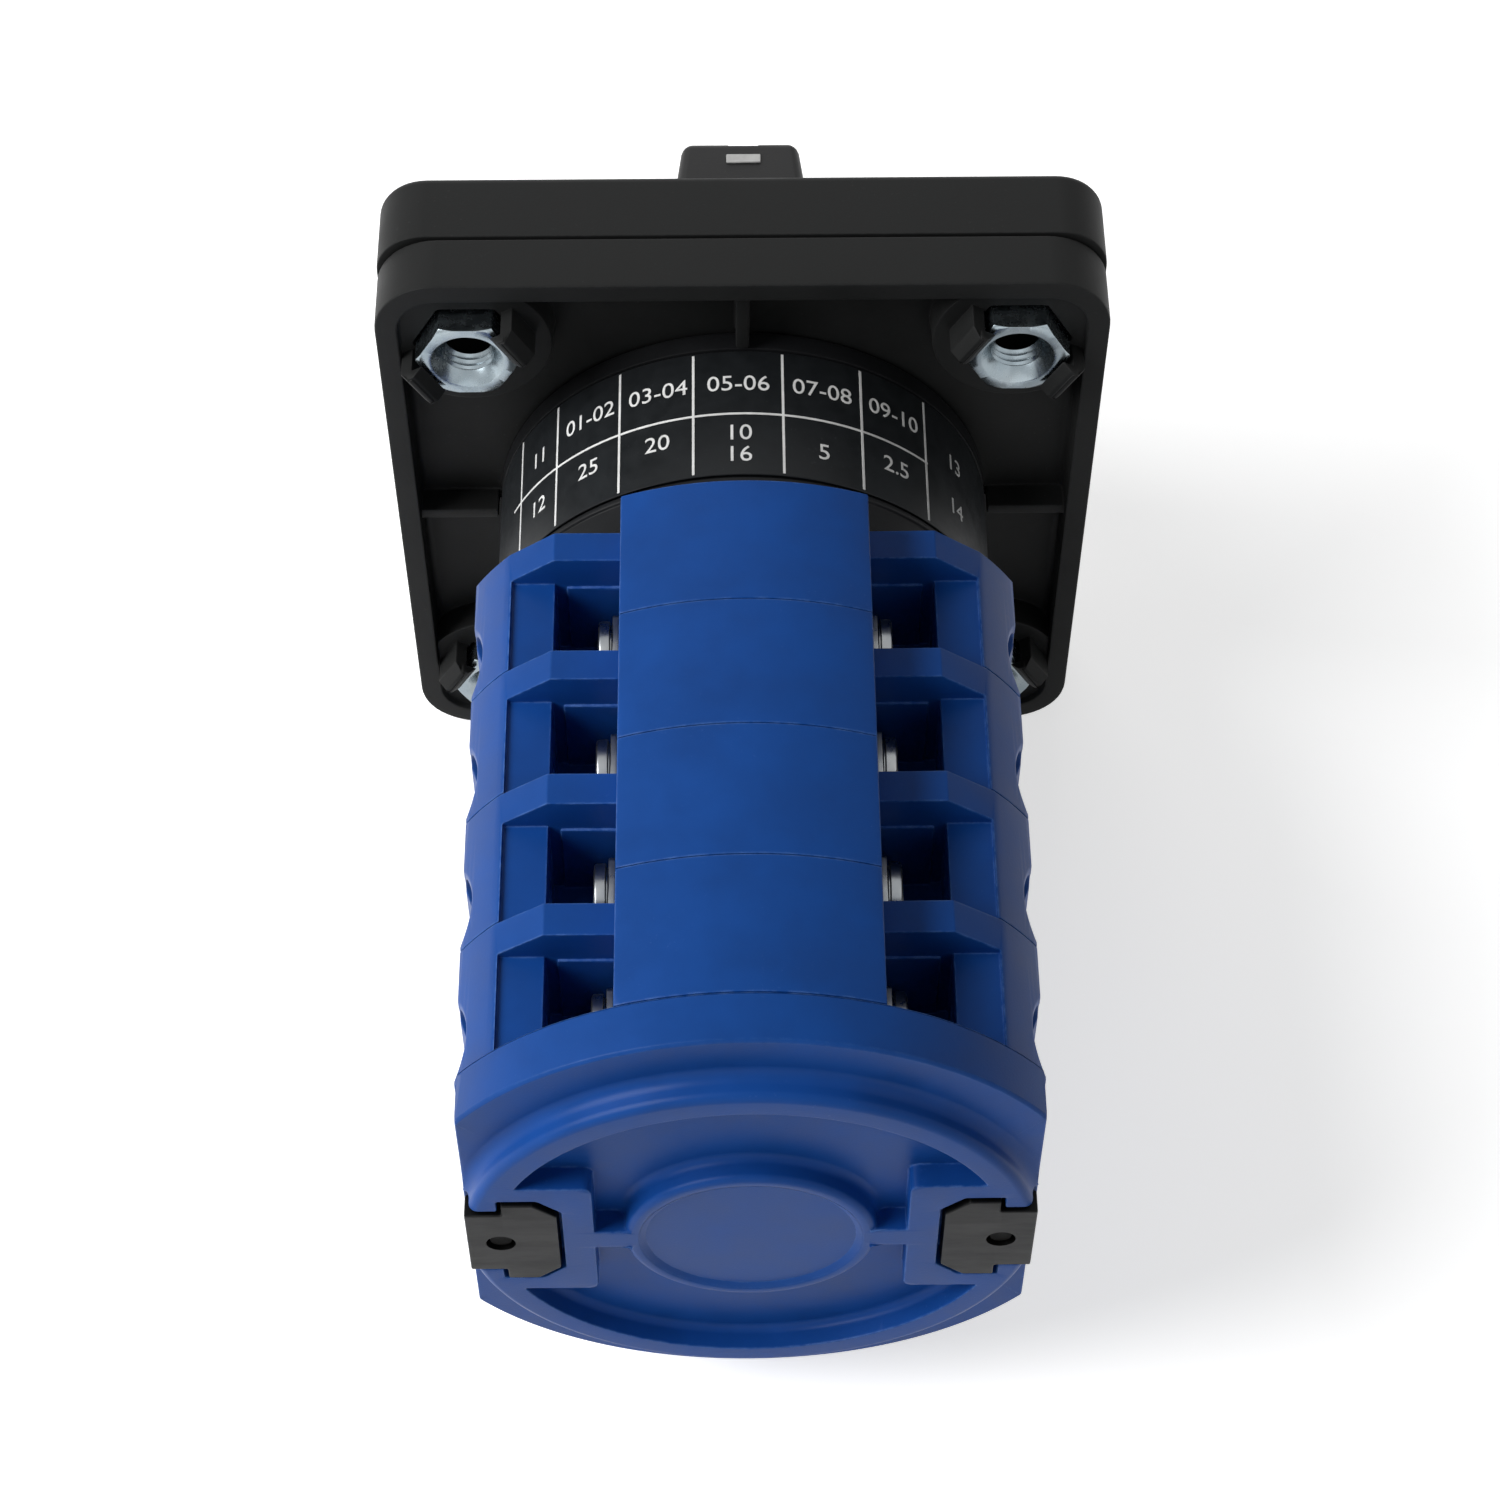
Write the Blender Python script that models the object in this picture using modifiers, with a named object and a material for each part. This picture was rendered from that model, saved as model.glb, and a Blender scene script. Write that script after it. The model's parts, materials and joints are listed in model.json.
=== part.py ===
import math

import bmesh
import bpy
from mathutils import Matrix, Vector

# A cam switch for panel mounting, seen as a stack of pieces along its shaft.
# The shaft lies along Y with the handle towards -Y, and 12 o'clock is +Z.
# The origin is on the shaft, in the plane of the panel. Sizes are in metres.

GAP = 0.0003
SEAM = 0.0002
PANEL_GAP = 0.0003
# Small outlines lose faces when they are filled, so they are filled at this many times their size.
FILL_SCALE = 1000
SLIVER_AREA = 1e-12

# Front plate and dial
PLATE_SIDE = 0.064
PLATE_CORNER = 0.005
BEZEL_DEPTH = 0.0075
BEZEL_EDGE = 0.001
BEZEL_BORE = 0.009
DIAL_MARGIN = 0.004
DIAL_CORNER = 0.003
DIAL_THICKNESS = 0.0008

# Handle
SKIRT_REAR_RADIUS = 0.019
SKIRT_FRONT_RADIUS = 0.0175
SKIRT_DEPTH = 0.0044
GRIP_HALF_LENGTH = 0.0185
GRIP_HALF_WIDTH = 0.0045
GRIP_FLARE = 0.001
GRIP_FLARE_SHARE = 0.94
GRIP_EDGE = 0.0008
GRIP_FRONT = -0.0246
HUB_RADIUS = 0.0078
HUB_DEPTH = 0.006
SCREW_RADIUS = 0.0016
SCREW_HEAD_RADIUS = 0.003
SCREW_HEAD_DEPTH = 0.0024
SCREW_LENGTH = 0.008
SCREW_RECESS = 0.004

# Shaft
SHAFT_SIDE = 0.007
SHAFT_CLEARANCE = 0.0002
SHAFT_FRONT = -0.018
SHAFT_BORE = 0.0054

# Mounting frame behind the panel, with its nuts
FRAME_DEPTH = 0.0058
FRAME_WALL = 0.002
FRAME_FLOOR = 0.002
FRAME_RIB = 0.0012
FRAME_RIB_DROP = 0.001
NUT_INSET = 0.008
NUT_WIDTH = 0.008
NUT_HEIGHT = 0.0032
NUT_FACE = 0.0072
NUT_BORE = 0.0021
NUT_COUNTERSINK = 0.0032
BOSS_RADIUS = 0.0075
BOSS_TOP = 0.005
BOLT_HOLE = 0.0027
HOOK_WIDTH = 0.0028
HOOK_THICKNESS = 0.0012
HOOK_BARB = 0.0011
HOOK_HEAD = 0.001

# Click housing, its label and the detent
HOUSING_RADIUS = 0.0225
HOUSING_RIM = 0.0055
HOUSING_WALL = 0.0027
LABEL_FRONT = 0.0048
LABEL_LENGTH = 0.014
LABEL_THICKNESS = 0.0002
LABEL_HALF_ANGLE = 105
STAR_ROOM = 0.0055
STAR_WAVE = 0.0005
STAR_NOTCHES = 12
STAR_FRONT = 0.0075
STAR_THICKNESS = 0.009
LEAF_THICKNESS = 0.0005
LEAF_INSET = 0.0005
LEAF_CROWN = 0.0012
LEAF_BUMP_WIDTH = 0.0011

# Contact decks
DECK_COUNT = 4
FIRST_DECK = 0.0238
DECK_PITCH = 0.01244
DECK_FLOOR = 0.003
DECK_RADIUS = 0.027
COLUMN_RADIUS = 0.0278
COLUMN_HALF_WIDTH = 0.0104
SCOOP_LENGTH = 0.0074
SCOOP_DEPTH = 0.0009
SCOOP_SETBACK = 0.0002
CHAMBER_BOTTOM = 0.0088
CHAMBER_LEDGE = 0.0169
WINDOW_WALL = 0.0004
# These share out the width and height of a deck.
DECK_WIDTH_SHARE = 0.863
RIB_SLOPE_SHARE = 0.748
RIB_CORNER_SHARE = 0.6
RIB_HEIGHT_SHARE = 0.774
SHOULDER_SHARE = 0.526

# Cams and the bridges that they lift
CAM_RADIUS = 0.0095
CAM_THICKNESS = 0.007
CAM_ROOM = 0.0118
CONTACT_TRAVEL = 0.0013
HANDLE_THROW = 60
CAM_RAMP = 70
PLUNGER_HALF_WIDTH = 0.0025
PLUNGER_NOSE = 0.001
BRIDGE_HEIGHT = 0.0187
BRIDGE_THICKNESS = 0.0012
BRIDGE_HALF_LENGTH = 0.0082
BRIDGE_WIDTH = 0.0046
TIP_RADIUS = 0.0013
TIP_HEIGHT = 0.0006
TIP_PLACE = 0.0063
BRIDGE_ROOM_TOP = 0.0223
STEM_RADIUS = 0.0011
STEM_HEIGHT = 0.0033
SPRING_RADIUS = 0.0022
SPRING_WIRE = 0.0006
SPRING_TURNS = 4
SPRING_SEAT = 0.026

# Terminals
STRIP_THICKNESS = 0.001
STRIP_HEIGHT = 0.015
STRIP_INNER_END = 0.0042
LEG_OUTER = 0.0106
TERMINAL_WIDTH = 0.0046
CLAMP_SCREW_HEIGHT = 0.0122
CLAMP_SCREW_RADIUS = 0.0015
CLAMP_SIDE = 0.0054
CLAMP_THICKNESS = 0.0005
CLAMP_HEAD_RADIUS = 0.0031
CLAMP_HEAD_LENGTH = 0.001
CLAMP_SLOT = 0.0008
ACCESS_RADIUS = 0.0026
ACCESS_DROP = 0.0007

# End cap, tie rods and nut plates
CAP_HALF_WIDTH = 0.023
FLANGE_THICKNESS = 0.0043
PLATEAU_RADIUS = 0.0231
PLATEAU_HALF_WIDTH = 0.0225
PLATEAU_HEIGHT = 0.0023
POCKET_RADIUS = 0.0206
POCKET_DEPTH = 0.0021
DISC_RADIUS = 0.0096
DISC_RECESS_RADIUS = 0.0086
DISC_RECESS_DEPTH = 0.0004
BAR_HALF_WIDTH = 0.0013
BOSS_INNER = 0.0126
BOSS_HALF_HEIGHT = 0.0087
BEARING_DEPTH = 0.0032
ROD_PLACE = 0.0202
ROD_RADIUS = 0.0012
ROD_HEAD_RADIUS = 0.0018
ROD_HEAD_DEPTH = 0.0014
ROD_TIP_RADIUS = 0.0009
PLATE_HOLE = 0.0012
NUT_PLATE_THICKNESS = 0.002
NUT_PLATE_PROUD = 0.0002
NUT_PLATE_INNER = 0.0155
NUT_PLATE_NECK_START = 0.0199
NUT_PLATE_HALF_HEIGHT = 0.0063
NUT_PLATE_NECK = 0.0047
NUT_PLATE_CHAMFER = 0.0019

DIAL_SIDE = PLATE_SIDE - 2 * DIAL_MARGIN
NUT_PLACE = PLATE_SIDE / 2 - NUT_INSET
HOUSING_CAVITY = HOUSING_RADIUS - HOUSING_RIM
STAR_RADIUS = HOUSING_CAVITY - STAR_ROOM
LEAF_HALF_LENGTH = STAR_RADIUS - LEAF_INSET
HOUSING_FRONT = PANEL_GAP / 2 + FRAME_FLOOR + GAP
HOUSING_REAR = FIRST_DECK - SEAM
CAP_FRONT = FIRST_DECK + DECK_COUNT * DECK_PITCH
CAP_SHOULDER = CAP_FRONT + FLANGE_THICKNESS
CAP_REAR = CAP_SHOULDER + PLATEAU_HEIGHT
DECK_MIDDLE = DECK_FLOOR + GAP + CAM_THICKNESS / 2
DECK_HALF_WIDTH = DECK_RADIUS * DECK_WIDTH_SHARE
RIB_SLOPE_END = DECK_RADIUS * RIB_SLOPE_SHARE
RIB_CORNER = DECK_RADIUS * RIB_CORNER_SHARE
RIB_HEIGHT = DECK_RADIUS * RIB_HEIGHT_SHARE
WINDOW_OUTER = RIB_SLOPE_END - WINDOW_WALL
CHAMBER_SHOULDER = DECK_RADIUS * SHOULDER_SHARE
CHAMBER_INNER = LEG_OUTER - STRIP_THICKNESS - GAP
PLUNGER_BOTTOM = CAM_RADIUS + GAP
CLAMP_PLACE = LEG_OUTER + GAP
CLAMP_HEAD_START = CLAMP_PLACE + CLAMP_THICKNESS + SEAM

COLORS = {
    "black_plastic": ((0.028, 0.028, 0.029), 0.5, 0.0),
    "knob_plastic": ((0.018, 0.018, 0.019), 0.42, 0.0),
    "blue_plastic": ((0.035, 0.10, 0.33), 0.45, 0.0),
    "dial_face": ((0.62, 0.63, 0.64), 0.35, 0.6),
    "label_film": ((0.03, 0.03, 0.032), 0.4, 0.0),
    "white_plastic": ((0.75, 0.74, 0.70), 0.5, 0.0),
    "zinc_steel": ((0.62, 0.66, 0.68), 0.32, 1.0),
    "dark_steel": ((0.07, 0.07, 0.075), 0.45, 1.0),
    "spring_steel": ((0.50, 0.51, 0.53), 0.3, 1.0),
}


def clear_scene():
    for item in list(bpy.data.objects):
        bpy.data.objects.remove(item, do_unlink=True)


def new_collection(name):
    group = bpy.data.collections.new(name)
    bpy.context.scene.collection.children.link(group)
    return group


def new_material(name):
    color, roughness, metallic = COLORS[name]
    material = bpy.data.materials.new(name)
    material.use_nodes = True
    shader = material.node_tree.nodes["Principled BSDF"]
    shader.inputs["Base Color"].default_value = (*color, 1.0)
    shader.inputs["Roughness"].default_value = roughness
    shader.inputs["Metallic"].default_value = metallic
    return material


def add_part(name, mesh, material, location=(0, 0, 0), turn=(0, 0, 0)):
    """Add a piece; its mesh is written about its own origin."""
    if not mesh.materials:
        mesh.materials.append(materials[material])
    mesh.name = name
    part = bpy.data.objects.new(name, mesh)
    part.location = location
    part.rotation_euler = [math.radians(angle) for angle in turn]
    parts.objects.link(part)
    return part


def add_guide(part, mesh, operation):
    """Cut a shape out of a piece, or join it on."""
    guide = bpy.data.objects.new(part.name + "_" + operation.lower(), mesh)
    guide.location = part.location
    guide.rotation_euler = part.rotation_euler
    guide.hide_render = True
    guide.display_type = "WIRE"
    cutters.objects.link(guide)
    modifier = part.modifiers.new(guide.name, "BOOLEAN")
    modifier.operation = operation
    modifier.object = guide


def cut(part, mesh):
    add_guide(part, mesh, "DIFFERENCE")


def join(part, mesh):
    add_guide(part, mesh, "UNION")


def finished_mesh(item):
    bpy.context.view_layer.update()
    graph = bpy.context.evaluated_depsgraph_get()
    mesh = bpy.data.meshes.new_from_object(item.evaluated_get(graph))
    return mesh


def welded(mesh):
    """Close the seams of a mesh, drop slivers from its flat faces and turn its faces outwards."""
    bm = bmesh.new()
    bm.from_mesh(mesh)
    bmesh.ops.remove_doubles(bm, verts=bm.verts, dist=1e-6)
    slivers = [face for face in bm.faces if face.calc_area() < SLIVER_AREA]
    longest = {max(face.edges, key=lambda edge: edge.calc_length()) for face in slivers}
    bmesh.ops.dissolve_edges(bm, edges=list(longest), use_verts=False)
    bmesh.ops.dissolve_limit(bm, angle_limit=math.radians(0.5), verts=bm.verts, edges=bm.edges)
    bmesh.ops.recalc_face_normals(bm, faces=bm.faces)
    bm.to_mesh(mesh)
    bm.free()
    return mesh


def outline_mesh(outlines, front, rear):
    """Fill closed (x, z) outlines and extrude them along Y; the inner ones are holes."""
    curve = bpy.data.curves.new("outline", "CURVE")
    curve.dimensions = "2D"
    curve.fill_mode = "BOTH"
    curve.extrude = (rear - front) / 2 * FILL_SCALE
    for points in outlines:
        spline = curve.splines.new("POLY")
        spline.points.add(len(points) - 1)
        for point, (x, z) in zip(spline.points, points):
            point.co = (x * FILL_SCALE, z * FILL_SCALE, 0, 1)
        spline.use_cyclic_u = True
    guide = bpy.data.objects.new("outline", curve)
    cutters.objects.link(guide)
    guide.rotation_euler.x = math.pi / 2
    guide.location.y = (front + rear) / 2
    guide.scale = (1 / FILL_SCALE, 1 / FILL_SCALE, 1 / FILL_SCALE)
    mesh = finished_mesh(guide)
    mesh.transform(guide.matrix_world)
    bpy.data.objects.remove(guide)
    return welded(mesh)


def turned_mesh(profile, steps):
    """Turn a (radius, y) profile about the shaft; it is closed unless both ends lie on the axis."""
    mesh = bpy.data.meshes.new("profile")
    count = len(profile)
    open_ended = profile[0][0] == 0 and profile[-1][0] == 0
    edges = [(i, (i + 1) % count) for i in range(count - 1 if open_ended else count)]
    mesh.from_pydata([(radius, y, 0) for radius, y in profile], edges, [])
    guide = bpy.data.objects.new("profile", mesh)
    cutters.objects.link(guide)
    screw = guide.modifiers.new("turn", "SCREW")
    screw.axis = "Y"
    screw.steps = steps
    screw.render_steps = steps
    screw.use_merge_vertices = True
    screw.merge_threshold = 0.000001
    turned = finished_mesh(guide)
    bpy.data.objects.remove(guide)
    return welded(turned)


def box_mesh(low, high):
    low = Vector(low)
    high = Vector(high)
    mesh = bpy.data.meshes.new("box")
    bm = bmesh.new()
    place = Matrix.Translation((low + high) / 2) @ Matrix.Diagonal((*(high - low), 1))
    bmesh.ops.create_cube(bm, size=1, matrix=place)
    bm.to_mesh(mesh)
    bm.free()
    return mesh


def cylinder_mesh(radius, start, end, segments, end_radius=None):
    """A cylinder or cone from one point to another."""
    start = Vector(start)
    end = Vector(end)
    line = end - start
    place = Matrix.Translation((start + end) / 2) @ line.to_track_quat("Z", "Y").to_matrix().to_4x4()
    mesh = bpy.data.meshes.new("cylinder")
    bm = bmesh.new()
    far_radius = radius if end_radius is None else end_radius
    bmesh.ops.create_cone(bm, cap_ends=True, segments=segments, radius1=radius, radius2=far_radius,
                          depth=line.length, matrix=place)
    bm.to_mesh(mesh)
    bm.free()
    return mesh


def together(meshes):
    """Put separate shapes in one mesh, for a guide that cuts in several places."""
    bm = bmesh.new()
    for mesh in meshes:
        bm.from_mesh(mesh)
    whole = bpy.data.meshes.new("together")
    bm.to_mesh(whole)
    bm.free()
    return whole


def rounded_edges(mesh, chosen, width, segments):
    """Round the edges whose two ends pass a test."""
    bm = bmesh.new()
    bm.from_mesh(mesh)
    edges = [edge for edge in bm.edges if all(chosen(vert.co) for vert in edge.verts)]
    bmesh.ops.bevel(bm, geom=edges, offset=width, segments=segments, profile=0.5, affect="EDGES")
    bm.to_mesh(mesh)
    bm.free()
    return mesh


def arc(radius, start, end, steps, center=(0, 0)):
    """Points along an arc; angles run in degrees from +X towards +Z."""
    points = []
    for i in range(steps + 1):
        angle = math.radians(start + (end - start) * i / steps)
        points.append((center[0] + radius * math.cos(angle), center[1] + radius * math.sin(angle)))
    return points


def circle(radius, steps, center=(0, 0)):
    return arc(radius, 0, 360, steps, center)[:-1]


def rounded_square(half, corner, steps=5):
    points = []
    for quarter, (sx, sz) in enumerate(((1, 1), (-1, 1), (-1, -1), (1, -1))):
        center = (sx * (half - corner), sz * (half - corner))
        points += arc(corner, 90 * quarter, 90 * quarter + 90, steps, center)
    return points


def square(half):
    return [(half, half), (-half, half), (-half, -half), (half, -half)]


def mirrored(points, sx, sz):
    """Mirror an outline in X, in Z or in both."""
    flipped = [(sx * x, sz * z) for x, z in points]
    return flipped if sx * sz > 0 else flipped[::-1]


def four_fold(quarter):
    """Close an outline from its quarter between +X and +Z."""
    return quarter + mirrored(quarter, -1, 1) + mirrored(quarter, -1, -1) + mirrored(quarter, 1, -1)


def circle_height(radius, x):
    return math.sqrt(radius * radius - x * x)


def angle_at(radius, x):
    return math.degrees(math.acos(x / radius))


def flat_sided_disc(radius, half_width, steps=18):
    """A disc with its left and right sides cut flat."""
    low = angle_at(radius, half_width)
    return arc(radius, low, 180 - low, steps) + arc(radius, 180 + low, 360 - low, steps)


def build_bezel():
    front = -BEZEL_DEPTH
    outer = rounded_square(PLATE_SIDE / 2, PLATE_CORNER)
    blank = outline_mesh([outer], front, -PANEL_GAP / 2)
    rounded_edges(blank, lambda co: co.y < front + GAP / 2, BEZEL_EDGE, 3)
    bezel = add_part("bezel", blank, "black_plastic")
    recess_half = DIAL_SIDE / 2 + GAP
    recess = rounded_square(recess_half, DIAL_CORNER + GAP)
    floor = front + DIAL_THICKNESS + GAP
    cut(bezel, outline_mesh([recess], front - GAP, floor))
    cut(bezel, outline_mesh([circle(BEZEL_BORE, 24)], floor - GAP, GAP))
    dial = [rounded_square(DIAL_SIDE / 2, DIAL_CORNER), circle(BEZEL_BORE, 24)]
    add_part("dial_plate", outline_mesh(dial, front, front + DIAL_THICKNESS), "dial_face")


def grip_outline():
    """A bar along Z that flares towards its two ends."""
    waist = GRIP_HALF_WIDTH
    steps = 6
    side = []
    for i in range(steps + 1):
        share = i / steps
        side.append((waist + GRIP_FLARE * share ** 2, share * GRIP_HALF_LENGTH * GRIP_FLARE_SHARE))
    corner = (side[-1][0] - GRIP_FLARE, GRIP_HALF_LENGTH)
    quarter = side[1:] + [corner]
    return [side[0]] + quarter + mirrored(quarter, -1, 1) + [(-waist, 0)] + \
        mirrored(quarter, -1, -1) + mirrored(quarter, 1, -1)


def build_knob():
    rear = -BEZEL_DEPTH - GAP
    front = rear - SKIRT_DEPTH
    hub_rear = rear + HUB_DEPTH
    profile = [(0, front), (SKIRT_FRONT_RADIUS, front), (SKIRT_REAR_RADIUS, rear),
               (HUB_RADIUS, rear), (HUB_RADIUS, hub_rear), (0, hub_rear)]
    knob = add_part("knob", turned_mesh(profile, 40), "knob_plastic")
    grip = outline_mesh([grip_outline()], GRIP_FRONT, front + SKIRT_DEPTH / 2)
    rounded_edges(grip, lambda co: co.y < GRIP_FRONT + GAP / 2, GRIP_EDGE, 2)
    join(knob, grip)
    socket = SHAFT_SIDE / 2 + SHAFT_CLEARANCE
    cut(knob, outline_mesh([square(socket)], SHAFT_FRONT - GAP, hub_rear + GAP))
    seat = GRIP_FRONT + SCREW_RECESS
    bores = [(0, GRIP_FRONT - GAP), (SCREW_HEAD_RADIUS + GAP, GRIP_FRONT - GAP),
             (SCREW_HEAD_RADIUS + GAP, seat), (SCREW_RADIUS + GAP, seat),
             (SCREW_RADIUS + GAP, SHAFT_FRONT), (0, SHAFT_FRONT)]
    cut(knob, turned_mesh(bores, 16))
    head_front = seat - GAP - SCREW_HEAD_DEPTH
    screw = [(0, head_front), (SCREW_HEAD_RADIUS, head_front), (SCREW_HEAD_RADIUS, seat - GAP),
             (SCREW_RADIUS, seat - GAP), (SCREW_RADIUS, seat + SCREW_LENGTH), (0, seat + SCREW_LENGTH)]
    add_part("knob_screw", turned_mesh(screw, 16), "zinc_steel")


def build_shaft():
    end = CAP_FRONT + BEARING_DEPTH - GAP
    shaft = add_part("drive_shaft", outline_mesh([square(SHAFT_SIDE / 2)], SHAFT_FRONT, end), "zinc_steel")
    depth = GRIP_FRONT + SCREW_RECESS + SCREW_LENGTH + GAP
    cut(shaft, cylinder_mesh(SCREW_RADIUS + GAP, (0, SHAFT_FRONT - GAP, 0), (0, depth, 0), 16))


def nut_places():
    return [(sx * NUT_PLACE, sz * NUT_PLACE) for sx, sz in ((1, 1), (-1, 1), (-1, -1), (1, -1))]


def hexagon(width, center):
    return arc(width / math.sqrt(3), 0, 300, 5, center)


def hook_meshes(center):
    """Two snap hooks that hold a nut by opposite flats, set along the tangent of the corner."""
    side = 1 if center[0] * center[1] > 0 else -1
    inner = NUT_WIDTH / 2 + 2 * GAP
    outer = inner + HOOK_THICKNESS
    front = PANEL_GAP / 2 + FRAME_FLOOR / 2
    catch = NUT_FACE + GAP
    top = catch + HOOK_HEAD
    section = [(outer, front), (outer, catch), (inner, top), (inner - HOOK_BARB / 2, top),
               (inner - HOOK_BARB, catch), (inner, catch), (inner, front)]
    meshes = []
    for angle in (150, 330):
        out = Vector((side * math.cos(math.radians(angle)), 0, math.sin(math.radians(angle))))
        mesh = outline_mesh([section], -HOOK_WIDTH / 2, HOOK_WIDTH / 2)
        axes = Matrix((out, out.cross((0, 1, 0)), (0, 1, 0))).transposed().to_4x4()
        mesh.transform(Matrix.Translation((center[0], 0, center[1])) @ axes)
        mesh.flip_normals()
        meshes.append(welded(mesh))
    return meshes


def build_frame():
    front = PANEL_GAP / 2
    rear = FRAME_DEPTH
    floor = front + FRAME_FLOOR
    half = PLATE_SIDE / 2
    frame = add_part("mounting_frame", outline_mesh([rounded_square(half, PLATE_CORNER)], front, rear),
                     "black_plastic")
    room = rounded_square(half - FRAME_WALL, PLATE_CORNER - FRAME_WALL)
    cut(frame, outline_mesh([room], floor, rear + GAP))
    bosses = [cylinder_mesh(BOSS_RADIUS, (x, front + GAP, z), (x, BOSS_TOP, z), 24) for x, z in nut_places()]
    join(frame, together(bosses))
    rib_top = rear - FRAME_RIB_DROP
    rib_start = HOUSING_RADIUS
    rib_end = half - FRAME_WALL / 2
    root = front + FRAME_FLOOR / 2
    width = FRAME_RIB / 2
    ribs = [box_mesh((rib_start, root, -width), (rib_end, rib_top, width)),
            box_mesh((-rib_end, root, -width), (-rib_start, rib_top, width)),
            box_mesh((-width, root, rib_start), (width, rib_top, rib_end)),
            box_mesh((-width, root, -rib_end), (width, rib_top, -rib_start))]
    join(frame, together(ribs))
    cut(frame, cylinder_mesh(HOUSING_RADIUS + GAP, (0, floor, 0), (0, rear + GAP, 0), 32))
    pocket = NUT_FACE - NUT_HEIGHT - GAP
    holes = []
    for x, z in nut_places():
        holes.append(outline_mesh([hexagon(NUT_WIDTH + 2 * GAP, (x, z))], pocket, rear + GAP))
    cut(frame, together(holes))
    bolt_holes = [cylinder_mesh(BOLT_HOLE, (x, front - GAP, z), (x, pocket + GAP, z), 12)
                  for x, z in nut_places()]
    center_hole = cylinder_mesh(BEZEL_BORE, (0, front - GAP, 0), (0, floor + GAP, 0), 24)
    cut(frame, together(bolt_holes + [center_hole]))
    for place in nut_places():
        for mesh in hook_meshes(place):
            join(frame, mesh)


def build_nuts():
    front = NUT_FACE - NUT_HEIGHT
    blank = outline_mesh([hexagon(NUT_WIDTH, (0, 0))], front, NUT_FACE)
    lead = NUT_COUNTERSINK - NUT_BORE
    for number, (x, z) in enumerate(nut_places(), 1):
        nut = add_part(f"corner_nut_{number}", blank, "zinc_steel", (x, 0, z))
        bore = [(0, front - GAP), (NUT_BORE, front - GAP), (NUT_BORE, NUT_FACE - lead),
                (NUT_COUNTERSINK + GAP, NUT_FACE + GAP), (0, NUT_FACE + GAP)]
        cut(nut, turned_mesh(bore, 16))


def build_click_housing():
    groove = HOUSING_RADIUS - LABEL_THICKNESS - GAP
    start = LABEL_FRONT - GAP
    end = LABEL_FRONT + LABEL_LENGTH + GAP
    wall = HOUSING_FRONT + HOUSING_WALL
    profile = [(SHAFT_BORE, HOUSING_FRONT), (HOUSING_RADIUS, HOUSING_FRONT), (HOUSING_RADIUS, start),
               (groove, start), (groove, end), (HOUSING_RADIUS, end), (HOUSING_RADIUS, HOUSING_REAR),
               (HOUSING_CAVITY, HOUSING_REAR), (HOUSING_CAVITY, wall), (SHAFT_BORE, wall)]
    housing = add_part("click_housing", turned_mesh(profile, 32), "black_plastic")
    seat = HOUSING_FRONT + GAP + ROD_HEAD_DEPTH + GAP
    holes = []
    for x in (-ROD_PLACE, ROD_PLACE):
        bore = [(0, HOUSING_FRONT - GAP), (ROD_HEAD_RADIUS + GAP, HOUSING_FRONT - GAP),
                (ROD_HEAD_RADIUS + GAP, seat), (ROD_RADIUS + GAP, seat),
                (ROD_RADIUS + GAP, HOUSING_REAR + GAP), (0, HOUSING_REAR + GAP)]
        hole = turned_mesh(bore, 12)
        hole.transform(Matrix.Translation((x, 0, 0)))
        holes.append(hole)
    cut(housing, together(holes))
    low = 90 - LABEL_HALF_ANGLE
    high = 90 + LABEL_HALF_ANGLE
    band = arc(HOUSING_RADIUS, low, high, 36) + arc(HOUSING_RADIUS - LABEL_THICKNESS, high, low, 36)
    add_part("rating_label", outline_mesh([band], LABEL_FRONT, LABEL_FRONT + LABEL_LENGTH), "label_film")


def shaft_hole():
    return square(SHAFT_SIDE / 2 + SHAFT_CLEARANCE)


def build_detent():
    steps = STAR_NOTCHES * 4
    rim = []
    for i in range(steps):
        angle = 2 * math.pi * i / steps
        radius = STAR_RADIUS - STAR_WAVE * math.cos(STAR_NOTCHES * angle)
        rim.append((radius * math.cos(angle), radius * math.sin(angle)))
    star = outline_mesh([rim, shaft_hole()], STAR_FRONT, STAR_FRONT + STAR_THICKNESS)
    add_part("detent_star", star, "white_plastic")
    end_height = circle_height(HOUSING_CAVITY - GAP, LEAF_HALF_LENGTH + LEAF_THICKNESS / 2) - LEAF_THICKNESS / 2
    crown = end_height + LEAF_CROWN
    dip = crown - LEAF_THICKNESS / 2 - (STAR_RADIUS - STAR_WAVE + GAP)
    steps = 16
    middle = []
    for i in range(steps + 1):
        x = LEAF_HALF_LENGTH * (2 * i / steps - 1)
        bow = LEAF_CROWN * (x / LEAF_HALF_LENGTH) ** 2
        middle.append((x, crown - bow - dip * math.exp(-(x / LEAF_BUMP_WIDTH) ** 2)))
    upper = [(x, z + LEAF_THICKNESS / 2) for x, z in middle]
    lower = [(x, z - LEAF_THICKNESS / 2) for x, z in middle]
    leaf = outline_mesh([upper + lower[::-1]], STAR_FRONT + GAP, STAR_FRONT + STAR_THICKNESS - GAP)
    add_part("detent_spring_1", leaf, "spring_steel")
    add_part("detent_spring_2", leaf, "spring_steel", turn=(0, 180, 0))


def deck_outline():
    slope = angle_at(DECK_RADIUS, RIB_SLOPE_END)
    side = angle_at(DECK_RADIUS, DECK_HALF_WIDTH)
    top = angle_at(COLUMN_RADIUS, COLUMN_HALF_WIDTH)
    quarter = arc(DECK_RADIUS, side, slope, 2)
    quarter += [(RIB_CORNER, RIB_HEIGHT), (COLUMN_HALF_WIDTH, RIB_HEIGHT)]
    quarter += arc(COLUMN_RADIUS, top, 90, 3)[:-1]
    return four_fold(quarter)


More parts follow.
